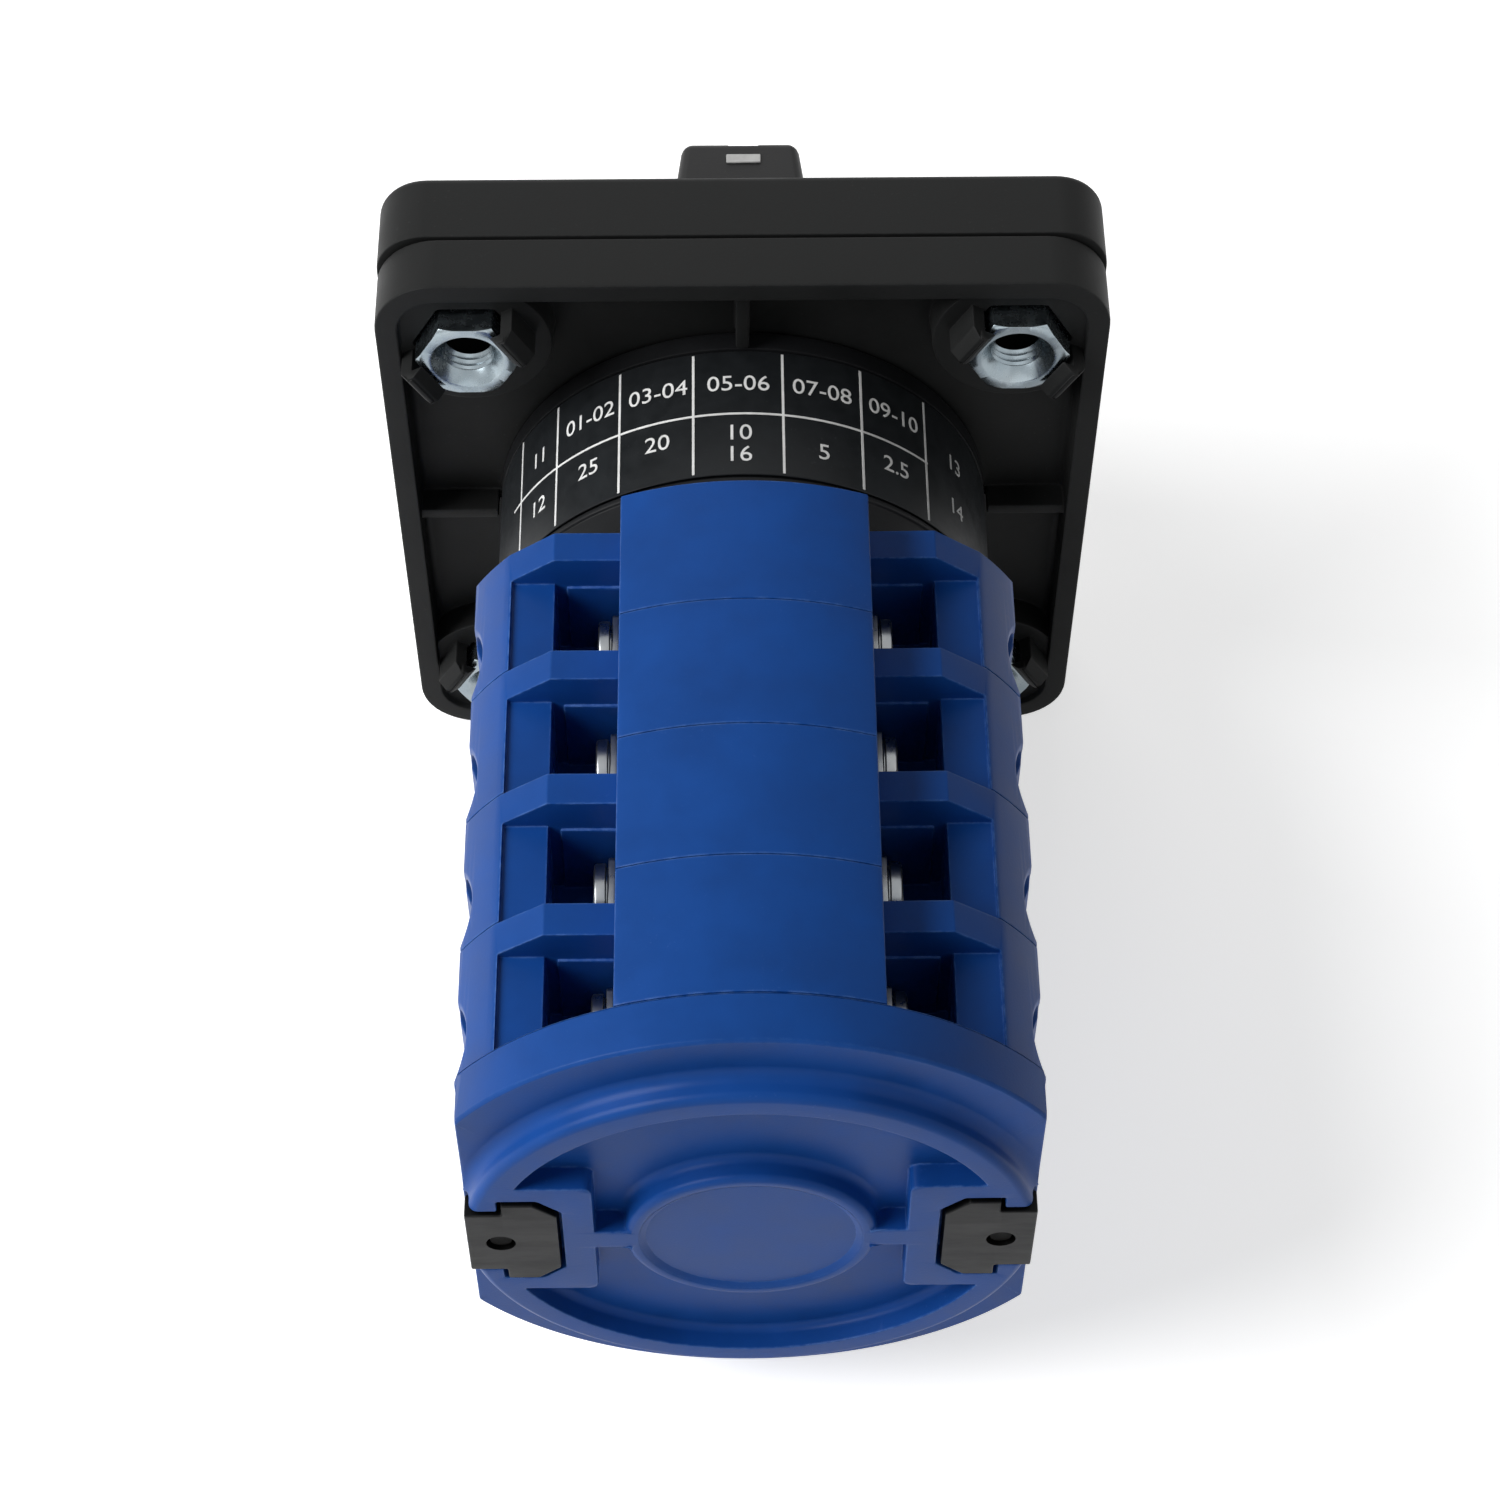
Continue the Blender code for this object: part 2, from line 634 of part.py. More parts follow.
def chamber_outline():
    """The wire window and the terminal chamber below it, seen along the shaft."""
    top = COLUMN_RADIUS + GAP
    slope_top = circle_height(DECK_RADIUS, RIB_SLOPE_END) - SEAM
    return [(CHAMBER_INNER, CHAMBER_BOTTOM), (RIB_CORNER, CHAMBER_BOTTOM),
            (RIB_CORNER, CHAMBER_SHOULDER), (WINDOW_OUTER, slope_top), (WINDOW_OUTER, top),
            (COLUMN_HALF_WIDTH, top), (COLUMN_HALF_WIDTH, CHAMBER_LEDGE), (CHAMBER_INNER, CHAMBER_LEDGE)]


def deck_room(half_width, low, high):
    """A straight-sided room above the cam and its twin below it, open to the rear."""
    rear = DECK_PITCH - SEAM + GAP
    return [box_mesh((-half_width, DECK_FLOOR, low), (half_width, rear, high)),
            box_mesh((-half_width, DECK_FLOOR, -high), (half_width, rear, -low))]


def side_scoops():
    """Shallow rounded hollows along both sides, behind the middle of a deck."""
    radius = (SCOOP_LENGTH ** 2 / 4 + SCOOP_DEPTH ** 2) / (2 * SCOOP_DEPTH)
    middle = DECK_PITCH - SEAM - SCOOP_SETBACK - SCOOP_LENGTH / 2
    place = DECK_HALF_WIDTH - SCOOP_DEPTH + radius
    return [cylinder_mesh(radius, (sx * place, middle, -DECK_RADIUS), (sx * place, middle, DECK_RADIUS), 32)
            for sx in (-1, 1)]


def access_holes():
    """Holes through the sides, for a screwdriver."""
    height = CLAMP_SCREW_HEIGHT - ACCESS_DROP
    holes = []
    for sx in (-1, 1):
        for sz in (-1, 1):
            start = (sx * (RIB_CORNER - GAP), DECK_MIDDLE, sz * height)
            end = (sx * (DECK_HALF_WIDTH + GAP), DECK_MIDDLE, sz * height)
            holes.append(cylinder_mesh(ACCESS_RADIUS, start, end, 8))
    return holes


def build_decks():
    rear = DECK_PITCH - SEAM
    first = add_part("deck_1", outline_mesh([deck_outline()], 0, rear), "blue_plastic", (0, FIRST_DECK, 0))
    chambers = [mirrored(chamber_outline(), sx, sz) for sx in (-1, 1) for sz in (-1, 1)]
    cut(first, outline_mesh(chambers, DECK_FLOOR, rear + GAP))
    strip_top = STRIP_HEIGHT + STRIP_THICKNESS + GAP
    cut(first, together(deck_room(CHAMBER_INNER + GAP, STRIP_HEIGHT - GAP, strip_top)))
    cut(first, together(deck_room(BRIDGE_HALF_LENGTH + 2 * GAP, STRIP_HEIGHT - GAP, BRIDGE_ROOM_TOP)))
    cut(first, together(deck_room(PLUNGER_HALF_WIDTH + GAP, CAM_RADIUS, SPRING_SEAT)))
    cut(first, outline_mesh([circle(CAM_ROOM, 20)], DECK_FLOOR, rear + 2 * GAP))
    bores = [circle(SHAFT_BORE, 12)] + [circle(ROD_RADIUS + GAP, 8, (sx * ROD_PLACE, 0)) for sx in (-1, 1)]
    cut(first, outline_mesh(bores, -GAP, rear + 3 * GAP))
    cut(first, together(side_scoops()))
    cut(first, together(access_holes()))
    copy = finished_mesh(first)
    for number in range(2, DECK_COUNT + 1):
        add_part(f"deck_{number}", copy, "blue_plastic", (0, FIRST_DECK + (number - 1) * DECK_PITCH, 0))


def cam_radius(angle):
    """Falls over the top and rises over the bottom by the travel for each throw of the handle."""
    if angle <= 180:
        turn = max(-CAM_RAMP, min(CAM_RAMP, angle - 90))
        return CAM_RADIUS - CONTACT_TRAVEL * turn / HANDLE_THROW
    turn = max(-CAM_RAMP, min(CAM_RAMP, angle - 270))
    return CAM_RADIUS + CONTACT_TRAVEL * turn / HANDLE_THROW


def build_cams():
    rim = []
    for angle in range(0, 360, 10):
        radius = cam_radius(angle)
        rim.append((radius * math.cos(math.radians(angle)), radius * math.sin(math.radians(angle))))
    cam = outline_mesh([rim, shaft_hole()], -CAM_THICKNESS / 2, CAM_THICKNESS / 2)
    for number in range(DECK_COUNT):
        middle = FIRST_DECK + number * DECK_PITCH + DECK_MIDDLE
        add_part(f"cam_{number + 1}", cam, "white_plastic", (0, middle, 0))


def bridge_mesh():
    """A plunger with a rounded nose, which carries a bar with two contact tips and a spring stem."""
    nose = PLUNGER_NOSE
    half = PLUNGER_HALF_WIDTH
    top = BRIDGE_HEIGHT + BRIDGE_THICKNESS / 2
    lower = PLUNGER_BOTTOM + nose
    outline = [(half, top)] + [(-half, top)] + arc(nose, 180, 270, 3, (-half + nose, lower)) + \
        arc(nose, 270, 360, 3, (half - nose, lower))
    depth = CAM_THICKNESS / 2
    bridge = add_part("bridge_master", outline_mesh([outline], -depth, depth), "white_plastic")
    bar_top = BRIDGE_HEIGHT + BRIDGE_THICKNESS
    width = BRIDGE_WIDTH / 2
    join(bridge, box_mesh((-BRIDGE_HALF_LENGTH, -width, BRIDGE_HEIGHT), (BRIDGE_HALF_LENGTH, width, bar_top)))
    tips = []
    for sx in (-1, 1):
        x = sx * TIP_PLACE
        tips.append(cylinder_mesh(TIP_RADIUS, (x, 0, BRIDGE_HEIGHT - TIP_HEIGHT),
                                  (x, 0, BRIDGE_HEIGHT + BRIDGE_THICKNESS / 2), 6))
    join(bridge, together(tips))
    stem_start = BRIDGE_HEIGHT + BRIDGE_THICKNESS / 2
    join(bridge, cylinder_mesh(STEM_RADIUS, (0, 0, stem_start), (0, 0, bar_top + STEM_HEIGHT), 6))
    mesh = finished_mesh(bridge)
    bpy.data.objects.remove(bridge)
    return mesh


def spring_curve():
    """A compression spring between the bridge and the roof of its pocket."""
    low = BRIDGE_HEIGHT + BRIDGE_THICKNESS + GAP + SPRING_WIRE / 2
    high = SPRING_SEAT - GAP - SPRING_WIRE / 2
    steps = SPRING_TURNS * 6
    curve = bpy.data.curves.new("return_spring", "CURVE")
    curve.dimensions = "3D"
    curve.bevel_depth = SPRING_WIRE / 2
    curve.bevel_resolution = 0
    curve.use_fill_caps = True
    spline = curve.splines.new("POLY")
    spline.points.add(steps)
    for i, point in enumerate(spline.points):
        angle = 2 * math.pi * SPRING_TURNS * i / steps
        height = low + (high - low) * i / steps
        point.co = (SPRING_RADIUS * math.cos(angle), SPRING_RADIUS * math.sin(angle), height, 1)
    return curve


def build_bridges():
    bridge = bridge_mesh()
    guide = bpy.data.objects.new("coil", spring_curve())
    cutters.objects.link(guide)
    coil = welded(finished_mesh(guide))
    bpy.data.objects.remove(guide)
    coil.materials.clear()
    for number in range(DECK_COUNT):
        middle = FIRST_DECK + number * DECK_PITCH + DECK_MIDDLE
        for side, turn in (("top", 0), ("bottom", 180)):
            name = f"{side}_{number + 1}"
            add_part("bridge_" + name, bridge, "white_plastic", (0, middle, 0), (0, turn, 0))
            add_part("spring_" + name, coil, "spring_steel", (0, middle, 0), (0, turn, 0))


def terminal_mesh():
    """A bent strip with its contact tip, and the clamp screw that its leg carries."""
    top = STRIP_HEIGHT + STRIP_THICKNESS
    inner = LEG_OUTER - STRIP_THICKNESS
    leg_end = CHAMBER_BOTTOM + 2 * GAP
    outline = [(STRIP_INNER_END, STRIP_HEIGHT), (inner, STRIP_HEIGHT), (inner, leg_end),
               (LEG_OUTER, leg_end), (LEG_OUTER, top), (STRIP_INNER_END, top)]
    width = TERMINAL_WIDTH / 2
    terminal = add_part("terminal_master", outline_mesh([outline], -width, width), "zinc_steel")
    tip = cylinder_mesh(TIP_RADIUS, (TIP_PLACE, 0, top - STRIP_THICKNESS / 2),
                        (TIP_PLACE, 0, top + TIP_HEIGHT), 6)
    join(terminal, tip)
    z = CLAMP_SCREW_HEIGHT
    head_end = CLAMP_HEAD_START + CLAMP_HEAD_LENGTH
    join(terminal, cylinder_mesh(CLAMP_SCREW_RADIUS, (LEG_OUTER - STRIP_THICKNESS / 2, 0, z),
                                 (CLAMP_HEAD_START + GAP, 0, z), 6))
    half = CLAMP_SIDE / 2
    join(terminal, box_mesh((CLAMP_PLACE, -half, z - half), (CLAMP_PLACE + CLAMP_THICKNESS, half, z + half)))
    join(terminal, cylinder_mesh(CLAMP_HEAD_RADIUS, (CLAMP_HEAD_START, 0, z), (head_end, 0, z), 10))
    wide = CLAMP_HEAD_RADIUS + GAP
    slot = CLAMP_SLOT / 2
    cut(terminal, box_mesh((head_end - slot, -wide, z - slot), (head_end + GAP, wide, z + slot)))
    mesh = finished_mesh(terminal)
    bpy.data.objects.remove(terminal)
    return mesh


def build_terminals():
    mesh = terminal_mesh()
    corners = (("right_top", (0, 0, 0)), ("left_top", (0, 0, 180)),
               ("left_bottom", (0, 180, 0)), ("right_bottom", (180, 0, 0)))
    for number in range(DECK_COUNT):
        middle = FIRST_DECK + number * DECK_PITCH + DECK_MIDDLE
        for corner, turn in corners:
            add_part(f"terminal_{corner}_{number + 1}", mesh, "zinc_steel", (0, middle, 0), turn)


def pocket_outline():
    """Half of the sunk ring on the cap, between the disc, the bars and the bosses."""
    disc_start = math.degrees(math.asin(BAR_HALF_WIDTH / DISC_RADIUS))
    boss_top = math.degrees(math.asin(BOSS_HALF_HEIGHT / POCKET_RADIUS))
    right = [(BOSS_INNER, BAR_HALF_WIDTH), (BOSS_INNER, BOSS_HALF_HEIGHT)]
    outer = arc(POCKET_RADIUS, boss_top, 180 - boss_top, 18)
    left = [(-BOSS_INNER, BOSS_HALF_HEIGHT), (-BOSS_INNER, BAR_HALF_WIDTH)]
    return right + outer + left + arc(DISC_RADIUS, 180 - disc_start, disc_start, 14)


def nut_plate_outline(grow, neck_end):
    """A plate with two chamfered corners and a neck that points outwards."""
    inner = NUT_PLATE_INNER - grow
    neck_start = NUT_PLATE_NECK_START + grow
    half = NUT_PLATE_HALF_HEIGHT + grow
    neck = NUT_PLATE_NECK + grow
    return [(inner, half - NUT_PLATE_CHAMFER), (inner, -half + NUT_PLATE_CHAMFER),
            (inner + NUT_PLATE_CHAMFER, -half), (neck_start, -half), (neck_start, -neck), (neck_end, -neck),
            (neck_end, neck), (neck_start, neck), (neck_start, half), (inner + NUT_PLATE_CHAMFER, half)]


def build_cap():
    flange = outline_mesh([flat_sided_disc(COLUMN_RADIUS, CAP_HALF_WIDTH)], CAP_FRONT, CAP_SHOULDER)
    cap = add_part("end_cap", flange, "blue_plastic")
    plateau = [flat_sided_disc(PLATEAU_RADIUS, PLATEAU_HALF_WIDTH)]
    join(cap, outline_mesh(plateau, CAP_SHOULDER - GAP, CAP_REAR))
    top = pocket_outline()
    sunk = CAP_REAR - POCKET_DEPTH
    cut(cap, outline_mesh([top, mirrored(top, 1, -1)], sunk, CAP_REAR + GAP))
    cut(cap, outline_mesh([circle(DISC_RECESS_RADIUS, 24)], CAP_REAR - DISC_RECESS_DEPTH, CAP_REAR + GAP))
    seat = CAP_REAR + NUT_PLATE_PROUD - NUT_PLATE_THICKNESS
    plate_room = nut_plate_outline(GAP, CAP_HALF_WIDTH)
    cut(cap, outline_mesh([plate_room, mirrored(plate_room, -1, 1)], seat - GAP, CAP_REAR + GAP))
    cut(cap, cylinder_mesh(SHAFT_BORE, (0, CAP_FRONT - GAP, 0), (0, CAP_FRONT + BEARING_DEPTH, 0), 16))
    rods = [circle(ROD_RADIUS + GAP, 8, (sx * ROD_PLACE, 0)) for sx in (-1, 1)]
    cut(cap, outline_mesh(rods, CAP_FRONT - GAP, seat))


def build_rods_and_plates():
    rear = CAP_REAR + NUT_PLATE_PROUD
    seat = rear - NUT_PLATE_THICKNESS
    start = HOUSING_FRONT + GAP
    head = start + ROD_HEAD_DEPTH
    profile = [(0, start), (ROD_HEAD_RADIUS, start), (ROD_HEAD_RADIUS, head), (ROD_RADIUS, head),
               (ROD_RADIUS, seat - GAP), (ROD_TIP_RADIUS, seat - GAP), (ROD_TIP_RADIUS, rear - GAP),
               (0, rear - GAP)]
    rod = turned_mesh(profile, 12)
    outline = nut_plate_outline(0, PLATEAU_HALF_WIDTH - GAP)
    plate = outline_mesh([outline, circle(PLATE_HOLE, 12, (ROD_PLACE, 0))], seat, rear)
    for number, (x, turn) in enumerate(((ROD_PLACE, 0), (-ROD_PLACE, 180)), 1):
        add_part(f"tie_rod_{number}", rod, "zinc_steel", (x, 0, 0))
        add_part(f"nut_plate_{number}", plate, "dark_steel", turn=(0, turn, 0))


clear_scene()
parts = new_collection("cam_switch")
cutters = new_collection("cutters")
materials = {name: new_material(name) for name in COLORS}
build_bezel()
build_knob()
build_shaft()
build_frame()
build_nuts()
build_click_housing()
build_detent()
build_decks()
build_cams()
build_bridges()
build_terminals()
build_cap()
build_rods_and_plates()
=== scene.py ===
import bpy
import bmesh
import json
import math
from mathutils import Matrix, Vector

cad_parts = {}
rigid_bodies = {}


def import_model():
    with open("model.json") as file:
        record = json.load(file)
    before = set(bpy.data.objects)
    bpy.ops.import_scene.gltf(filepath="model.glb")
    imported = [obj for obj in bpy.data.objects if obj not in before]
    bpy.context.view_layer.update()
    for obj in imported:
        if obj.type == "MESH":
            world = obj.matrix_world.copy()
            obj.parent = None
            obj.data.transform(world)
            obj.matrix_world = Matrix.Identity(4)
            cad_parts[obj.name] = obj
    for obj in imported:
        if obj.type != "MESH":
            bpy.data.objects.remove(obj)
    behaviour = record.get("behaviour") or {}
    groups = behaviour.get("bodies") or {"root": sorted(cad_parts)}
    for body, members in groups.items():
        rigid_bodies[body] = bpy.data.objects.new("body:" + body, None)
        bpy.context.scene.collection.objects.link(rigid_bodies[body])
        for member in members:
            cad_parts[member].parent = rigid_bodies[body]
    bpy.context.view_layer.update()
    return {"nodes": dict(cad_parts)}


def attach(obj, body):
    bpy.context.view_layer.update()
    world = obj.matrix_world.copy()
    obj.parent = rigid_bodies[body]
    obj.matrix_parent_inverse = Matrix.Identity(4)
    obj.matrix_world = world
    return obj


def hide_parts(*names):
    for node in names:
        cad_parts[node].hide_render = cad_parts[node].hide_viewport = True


# Rotary cam switch seen from behind and above.
# Shapes are worked out in millimetres on the bench and brought to metres when each one is finished.
# The shaft runs along Y: handle at -Y, end cap at +Y, 12 o'clock at +Z.

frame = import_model()
bpy.ops.object.select_all(action="DESELECT")
bench = bpy.data.collections.new("bench")
bpy.context.scene.collection.children.link(bench)
bpy.context.view_layer.active_layer_collection = bpy.context.view_layer.layer_collection.children["bench"]
print("frame loaded:", len(frame["nodes"]), "nodes")

near = 0.01  # places closer than this count as one
over = 1.0  # how far a cutting shape runs past the face that it opens
share = 0.3  # the middle point of a two-step edge, as a share of its width


# picking, cutting and joining, as at the bench

def pickNothing():
    if bpy.context.object and bpy.context.object.mode != "OBJECT":
        bpy.ops.object.mode_set(mode="OBJECT")
    bpy.ops.object.select_all(action="DESELECT")


def pickOnly(*pieces):
    pickNothing()
    for piece in pieces:
        piece.select_set(True)
    bpy.context.view_layer.objects.active = pieces[0]


def applyPlace(piece):
    pickOnly(piece)
    bpy.ops.object.transform_apply(location=True, rotation=True, scale=True)


# opens a piece's mesh for editing with all of it picked, or nothing
def openMesh(piece, kind=None, picked=True):
    pickOnly(piece)
    bpy.ops.object.mode_set(mode="EDIT")
    if kind:
        bpy.ops.mesh.select_mode(type=kind)
    bpy.ops.mesh.select_all(action="SELECT" if picked else "DESELECT")


def closeMesh():
    bpy.ops.object.mode_set(mode="OBJECT")


# opens the mesh and picks the points, edges or faces that pass a test
def pickParts(piece, kind, test):
    openMesh(piece, kind, picked=False)
    mesh = bmesh.from_edit_mesh(piece.data)
    for part in {"VERT": mesh.verts, "EDGE": mesh.edges, "FACE": mesh.faces}[kind]:
        if test(part):
            part.select_set(True)
    if kind == "VERT":
        mesh.select_flush(True)
    bmesh.update_edit_mesh(piece.data)


# tests for an edge by its two ends
def alongShaft(a, b):
    return abs(a.x - b.x) < near and abs(a.z - b.z) < near


def before(axis, value):
    return lambda a, b: max(getattr(a, axis), getattr(b, axis)) < value + near


def beyond(axis, value):
    return lambda a, b: min(getattr(a, axis), getattr(b, axis)) > value - near


def roundPicked(piece, test, width, segments):
    pickParts(piece, "EDGE", lambda edge: test(edge.verts[0].co, edge.verts[1].co))
    bpy.ops.mesh.bevel(offset=width, segments=segments, affect="EDGES", clamp_overlap=False)
    closeMesh()


# welds the seams, drops slivers and faces everything outwards
def cleanUp(piece, flatAngle=0.4):
    openMesh(piece)
    bpy.ops.mesh.remove_doubles(threshold=0.002)
    bpy.ops.mesh.dissolve_degenerate(threshold=0.002)
    if flatAngle:
        bpy.ops.mesh.dissolve_limited(angle_limit=math.radians(flatAngle))
    bpy.ops.mesh.normals_make_consistent(inside=False)
    closeMesh()


def useModifier(piece, kind, **values):
    pickOnly(piece)
    bpy.ops.object.modifier_add(type=kind)
    modifier = piece.modifiers[-1]
    for key, value in values.items():
        setattr(modifier, key, value)
    bpy.ops.object.modifier_apply(modifier=modifier.name)


def combine(piece, tool, how):
    useModifier(piece, "BOOLEAN", operation=how, solver="EXACT", object=tool)
    bpy.data.objects.remove(tool)


def cutAway(piece, *tools):
    for tool in tools:
        combine(piece, tool, "DIFFERENCE")


def joinOn(piece, *tools):
    for tool in tools:
        combine(piece, tool, "UNION")


def oneObject(name, pieces):
    pickOnly(*pieces)
    if len(pieces) > 1:
        bpy.ops.object.join()
    whole = bpy.context.view_layer.objects.active
    whole.name = name
    return whole


# small rounding on every sharp edge that is left
def softenEdges(piece, width, segments=2, angle=34):
    useModifier(piece, "BEVEL", width=width, segments=segments, limit_method="ANGLE",
                angle_limit=math.radians(angle), use_clamp_overlap=False, miter_outer="MITER_ARC")


# starting shapes

def block(name, low, high):
    middle = [(a + b) / 2 for a, b in zip(low, high)]
    pickNothing()
    bpy.ops.mesh.primitive_cube_add(size=1, location=middle)
    piece = bpy.context.object
    piece.name = name
    piece.scale = [b - a for a, b in zip(low, high)]
    applyPlace(piece)
    return piece


# a rod or cone between two points
def rod(name, radius, start, end, corners=48, farRadius=None):
    start, end = Vector(start), Vector(end)
    line = end - start
    pickNothing()
    bpy.ops.mesh.primitive_cone_add(vertices=corners, radius1=radius,
                                    radius2=radius if farRadius is None else farRadius,
                                    depth=line.length, location=(start + end) / 2,
                                    rotation=line.to_track_quat("Z", "Y").to_euler())
    piece = bpy.context.object
    piece.name = name
    applyPlace(piece)
    return piece


# a rod parallel to the shaft
def bore(name, radius, front, rear, corners, place=(0, 0), farRadius=None):
    return rod(name, radius, (place[0], front, place[1]), (place[0], rear, place[1]), corners, farRadius)


# square plate with rounded corners, standing across the shaft
def roundedPlate(name, half, corner, front, rear, segments=10):
    piece = block(name, (-half, front, -half), (half, rear, half))
    roundPicked(piece, alongShaft, corner, segments)
    return piece


# outlines drawn as a curve, which then becomes a mesh
def drawnMesh(name, outlines, closed, **settings):
    curve = bpy.data.curves.new(name, "CURVE")
    for key, value in settings.items():
        setattr(curve, key, value)
    for points in outlines:
        spline = curve.splines.new("POLY")
        spline.points.add(len(points) - 1)
        for point, (first, second) in zip(spline.points, points):
            point.co = (first, second, 0, 1)
        spline.use_cyclic_u = closed
    piece = bpy.data.objects.new(name, curve)
    bench.objects.link(piece)
    pickOnly(piece)
    bpy.ops.object.convert(target="MESH")
    return piece


# closed (x, z) outlines, filled and drawn out along Y; an outline inside another is a hole
def flatShape(name, outlines, front, rear):
    piece = drawnMesh(name, outlines, True, dimensions="2D", fill_mode="BOTH", extrude=(rear - front) / 2)
    piece.rotation_euler.x = math.pi / 2
    piece.location.y = (front + rear) / 2
    applyPlace(piece)
    cleanUp(piece)
    return piece


# a (radius, y) profile spun about an axis parallel to the shaft
def turnedShape(name, profile, steps=64, center=(0, 0)):
    closed = profile[0][0] > 0 or profile[-1][0] > 0
    piece = drawnMesh(name, [profile], closed, dimensions="3D")
    openMesh(piece)
    bpy.ops.mesh.spin(steps=steps, angle=2 * math.pi, center=(0, 0, 0), axis=(0, 1, 0))
    bpy.ops.mesh.select_all(action="SELECT")
    bpy.ops.mesh.remove_doubles(threshold=0.001)
    bpy.ops.mesh.normals_make_consistent(inside=False)
    closeMesh()
    piece.location = (center[0], 0, center[1])
    applyPlace(piece)
    return piece


# points of an arc; degrees run from +X towards +Z
def arc(radius, start, end, steps, center=(0, 0)):
    angles = [math.radians(start + (end - start) * i / steps) for i in range(steps + 1)]
    return [(center[0] + radius * math.cos(a), center[1] + radius * math.sin(a)) for a in angles]


def flipped(points, sx, sz):
    turned = [(sx * x, sz * z) for x, z in points]
    return turned if sx * sz > 0 else turned[::-1]


def fourFold(quarter):
    return quarter + flipped(quarter, -1, 1) + flipped(quarter, -1, -1) + flipped(quarter, 1, -1)


def angleAt(radius, x):
    return math.degrees(math.acos(x / radius))


# a copy with its own mesh, moved and turned about the origin
def copyOf(piece, name, shift=(0, 0, 0), turn=(0, 0, 0)):
    twin = piece.copy()
    twin.data = piece.data.copy()
    twin.name = name
    bench.objects.link(twin)
    twin.rotation_euler = [math.radians(a) for a in turn]
    twin.location = shift
    applyPlace(twin)
    return twin


def splitHollowFaces(piece):
    openMesh(piece)
    bpy.ops.mesh.vert_connect_concave()
    closeMesh()


millimetre = 0.001


# brings a shape to metres, smooths its shading, gives it its finish and hangs it on its body
def finishPiece(piece, name, finish, nodes=(), body="housing", smooth=32):
    piece.name = name
    piece.data.name = name
    splitHollowFaces(piece)
    piece.scale = (millimetre, millimetre, millimetre)
    applyPlace(piece)
    bpy.ops.object.shade_smooth_by_angle(angle=math.radians(smooth))
    useModifier(piece, "WEIGHTED_NORMAL", keep_sharp=True, weight=80)
    piece.data.materials.clear()
    piece.data.materials.append(finish)
    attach(piece, body)
    if nodes:
        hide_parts(*nodes)
    return piece


# shader nodes; an input is given a value or another node's output

def newNode(tree, kind, inputs=None, **settings):
    node = tree.nodes.new("ShaderNode" + kind)
    for key, value in settings.items():
        setattr(node, key, value)
    for label, value in (inputs or {}).items():
        if isinstance(value, bpy.types.NodeSocket):
            tree.links.new(value, node.inputs[label])
        elif value is not None:
            node.inputs[label].default_value = value
    return node


def mathNode(tree, operation, first, second=None):
    return newNode(tree, "Math", {0: first, 1: second}, operation=operation).outputs[0]


def noiseNode(tree, place, scale, detail, rough):
    noise = newNode(tree, "TexNoise", {"Vector": place, "Scale": scale, "Detail": detail, "Roughness": rough})
    return noise.outputs["Fac"]


def rangeNode(tree, value, low, high, newLow=0.0, newHigh=1.0):
    return newNode(tree, "MapRange", {"Value": value, "From Min": low, "From Max": high, "To Min": newLow,
                                      "To Max": newHigh}).outputs[0]


def mixColor(tree, mask, first, second):
    ends = [(*end, 1) if isinstance(end, tuple) else end for end in (first, second)]
    mix = newNode(tree, "Mix", {"Factor": mask, "A": ends[0], "B": ends[1]}, data_type="RGBA")
    return mix.outputs["Result"]


# camera, lamps and floor, in metres

white = (1, 1, 1, 1)
cameraPlan = {"place": (0.001317, 0.207263, 0.250788), "down": 55.04, "yaw": 0.557, "lens": 82.65,
              "sensor": 36}


def setCamera():
    down, yaw = math.radians(cameraPlan["down"]), math.radians(cameraPlan["yaw"])
    look = Vector((-math.sin(yaw) * math.cos(down), -math.cos(yaw) * math.cos(down), -math.sin(down)))
    right = Vector((-math.cos(yaw), math.sin(yaw), 0))
    up = right.cross(look)
    data = bpy.data.cameras.new("photoCamera")
    data.lens = cameraPlan["lens"]
    data.sensor_width = cameraPlan["sensor"]
    camera = bpy.data.objects.new("photoCamera", data)
    bpy.context.scene.collection.objects.link(camera)
    turned = Matrix((right, up, -look)).transposed().to_4x4()
    camera.matrix_world = Matrix.Translation(cameraPlan["place"]) @ turned
    bpy.context.scene.camera = camera


lampPlan = {
    "key": {"place": (0.49, 0.14, 0.43), "size": 0.45, "power": 4.8},
    "fill": {"place": (-0.45, 0.30, 0.30), "size": 0.60, "power": 0.25},
    "rear": {"place": (0.05, 0.75, 0.20), "size": 0.60, "power": 0.6},
    "front": {"place": (0.10, -0.70, 0.35), "size": 0.60, "power": 1.0},
}
worldPlan = {"seen": 1.0, "ambient": 0.07}
floorPlan = {"height": -0.0321, "half": 6.0, "color": (0.93, 0.93, 0.93), "roughness": 0.9, "specular": 0.1,
             "glow": 0.62, "farGlow": 1.0, "near": 0.12, "far": 0.55}


def setLamps():
    for name, plan in lampPlan.items():
        data = bpy.data.lights.new(name, "AREA")
        data.shape = "DISK"
        data.size = plan["size"]
        data.energy = plan["power"]
        lamp = bpy.data.objects.new(name, data)
        bpy.context.scene.collection.objects.link(lamp)
        lamp.location = plan["place"]
        lamp.rotation_euler = Vector(plan["place"]).to_track_quat("Z", "Y").to_euler()


# 1 for what the camera, a mirror or glass sees directly
def seenDirectly(tree):
    rays = newNode(tree, "LightPath").outputs
    first = mathNode(tree, "MAXIMUM", rays["Is Camera Ray"], rays["Is Glossy Ray"])
    return mathNode(tree, "MAXIMUM", first, rays["Is Transmission Ray"])


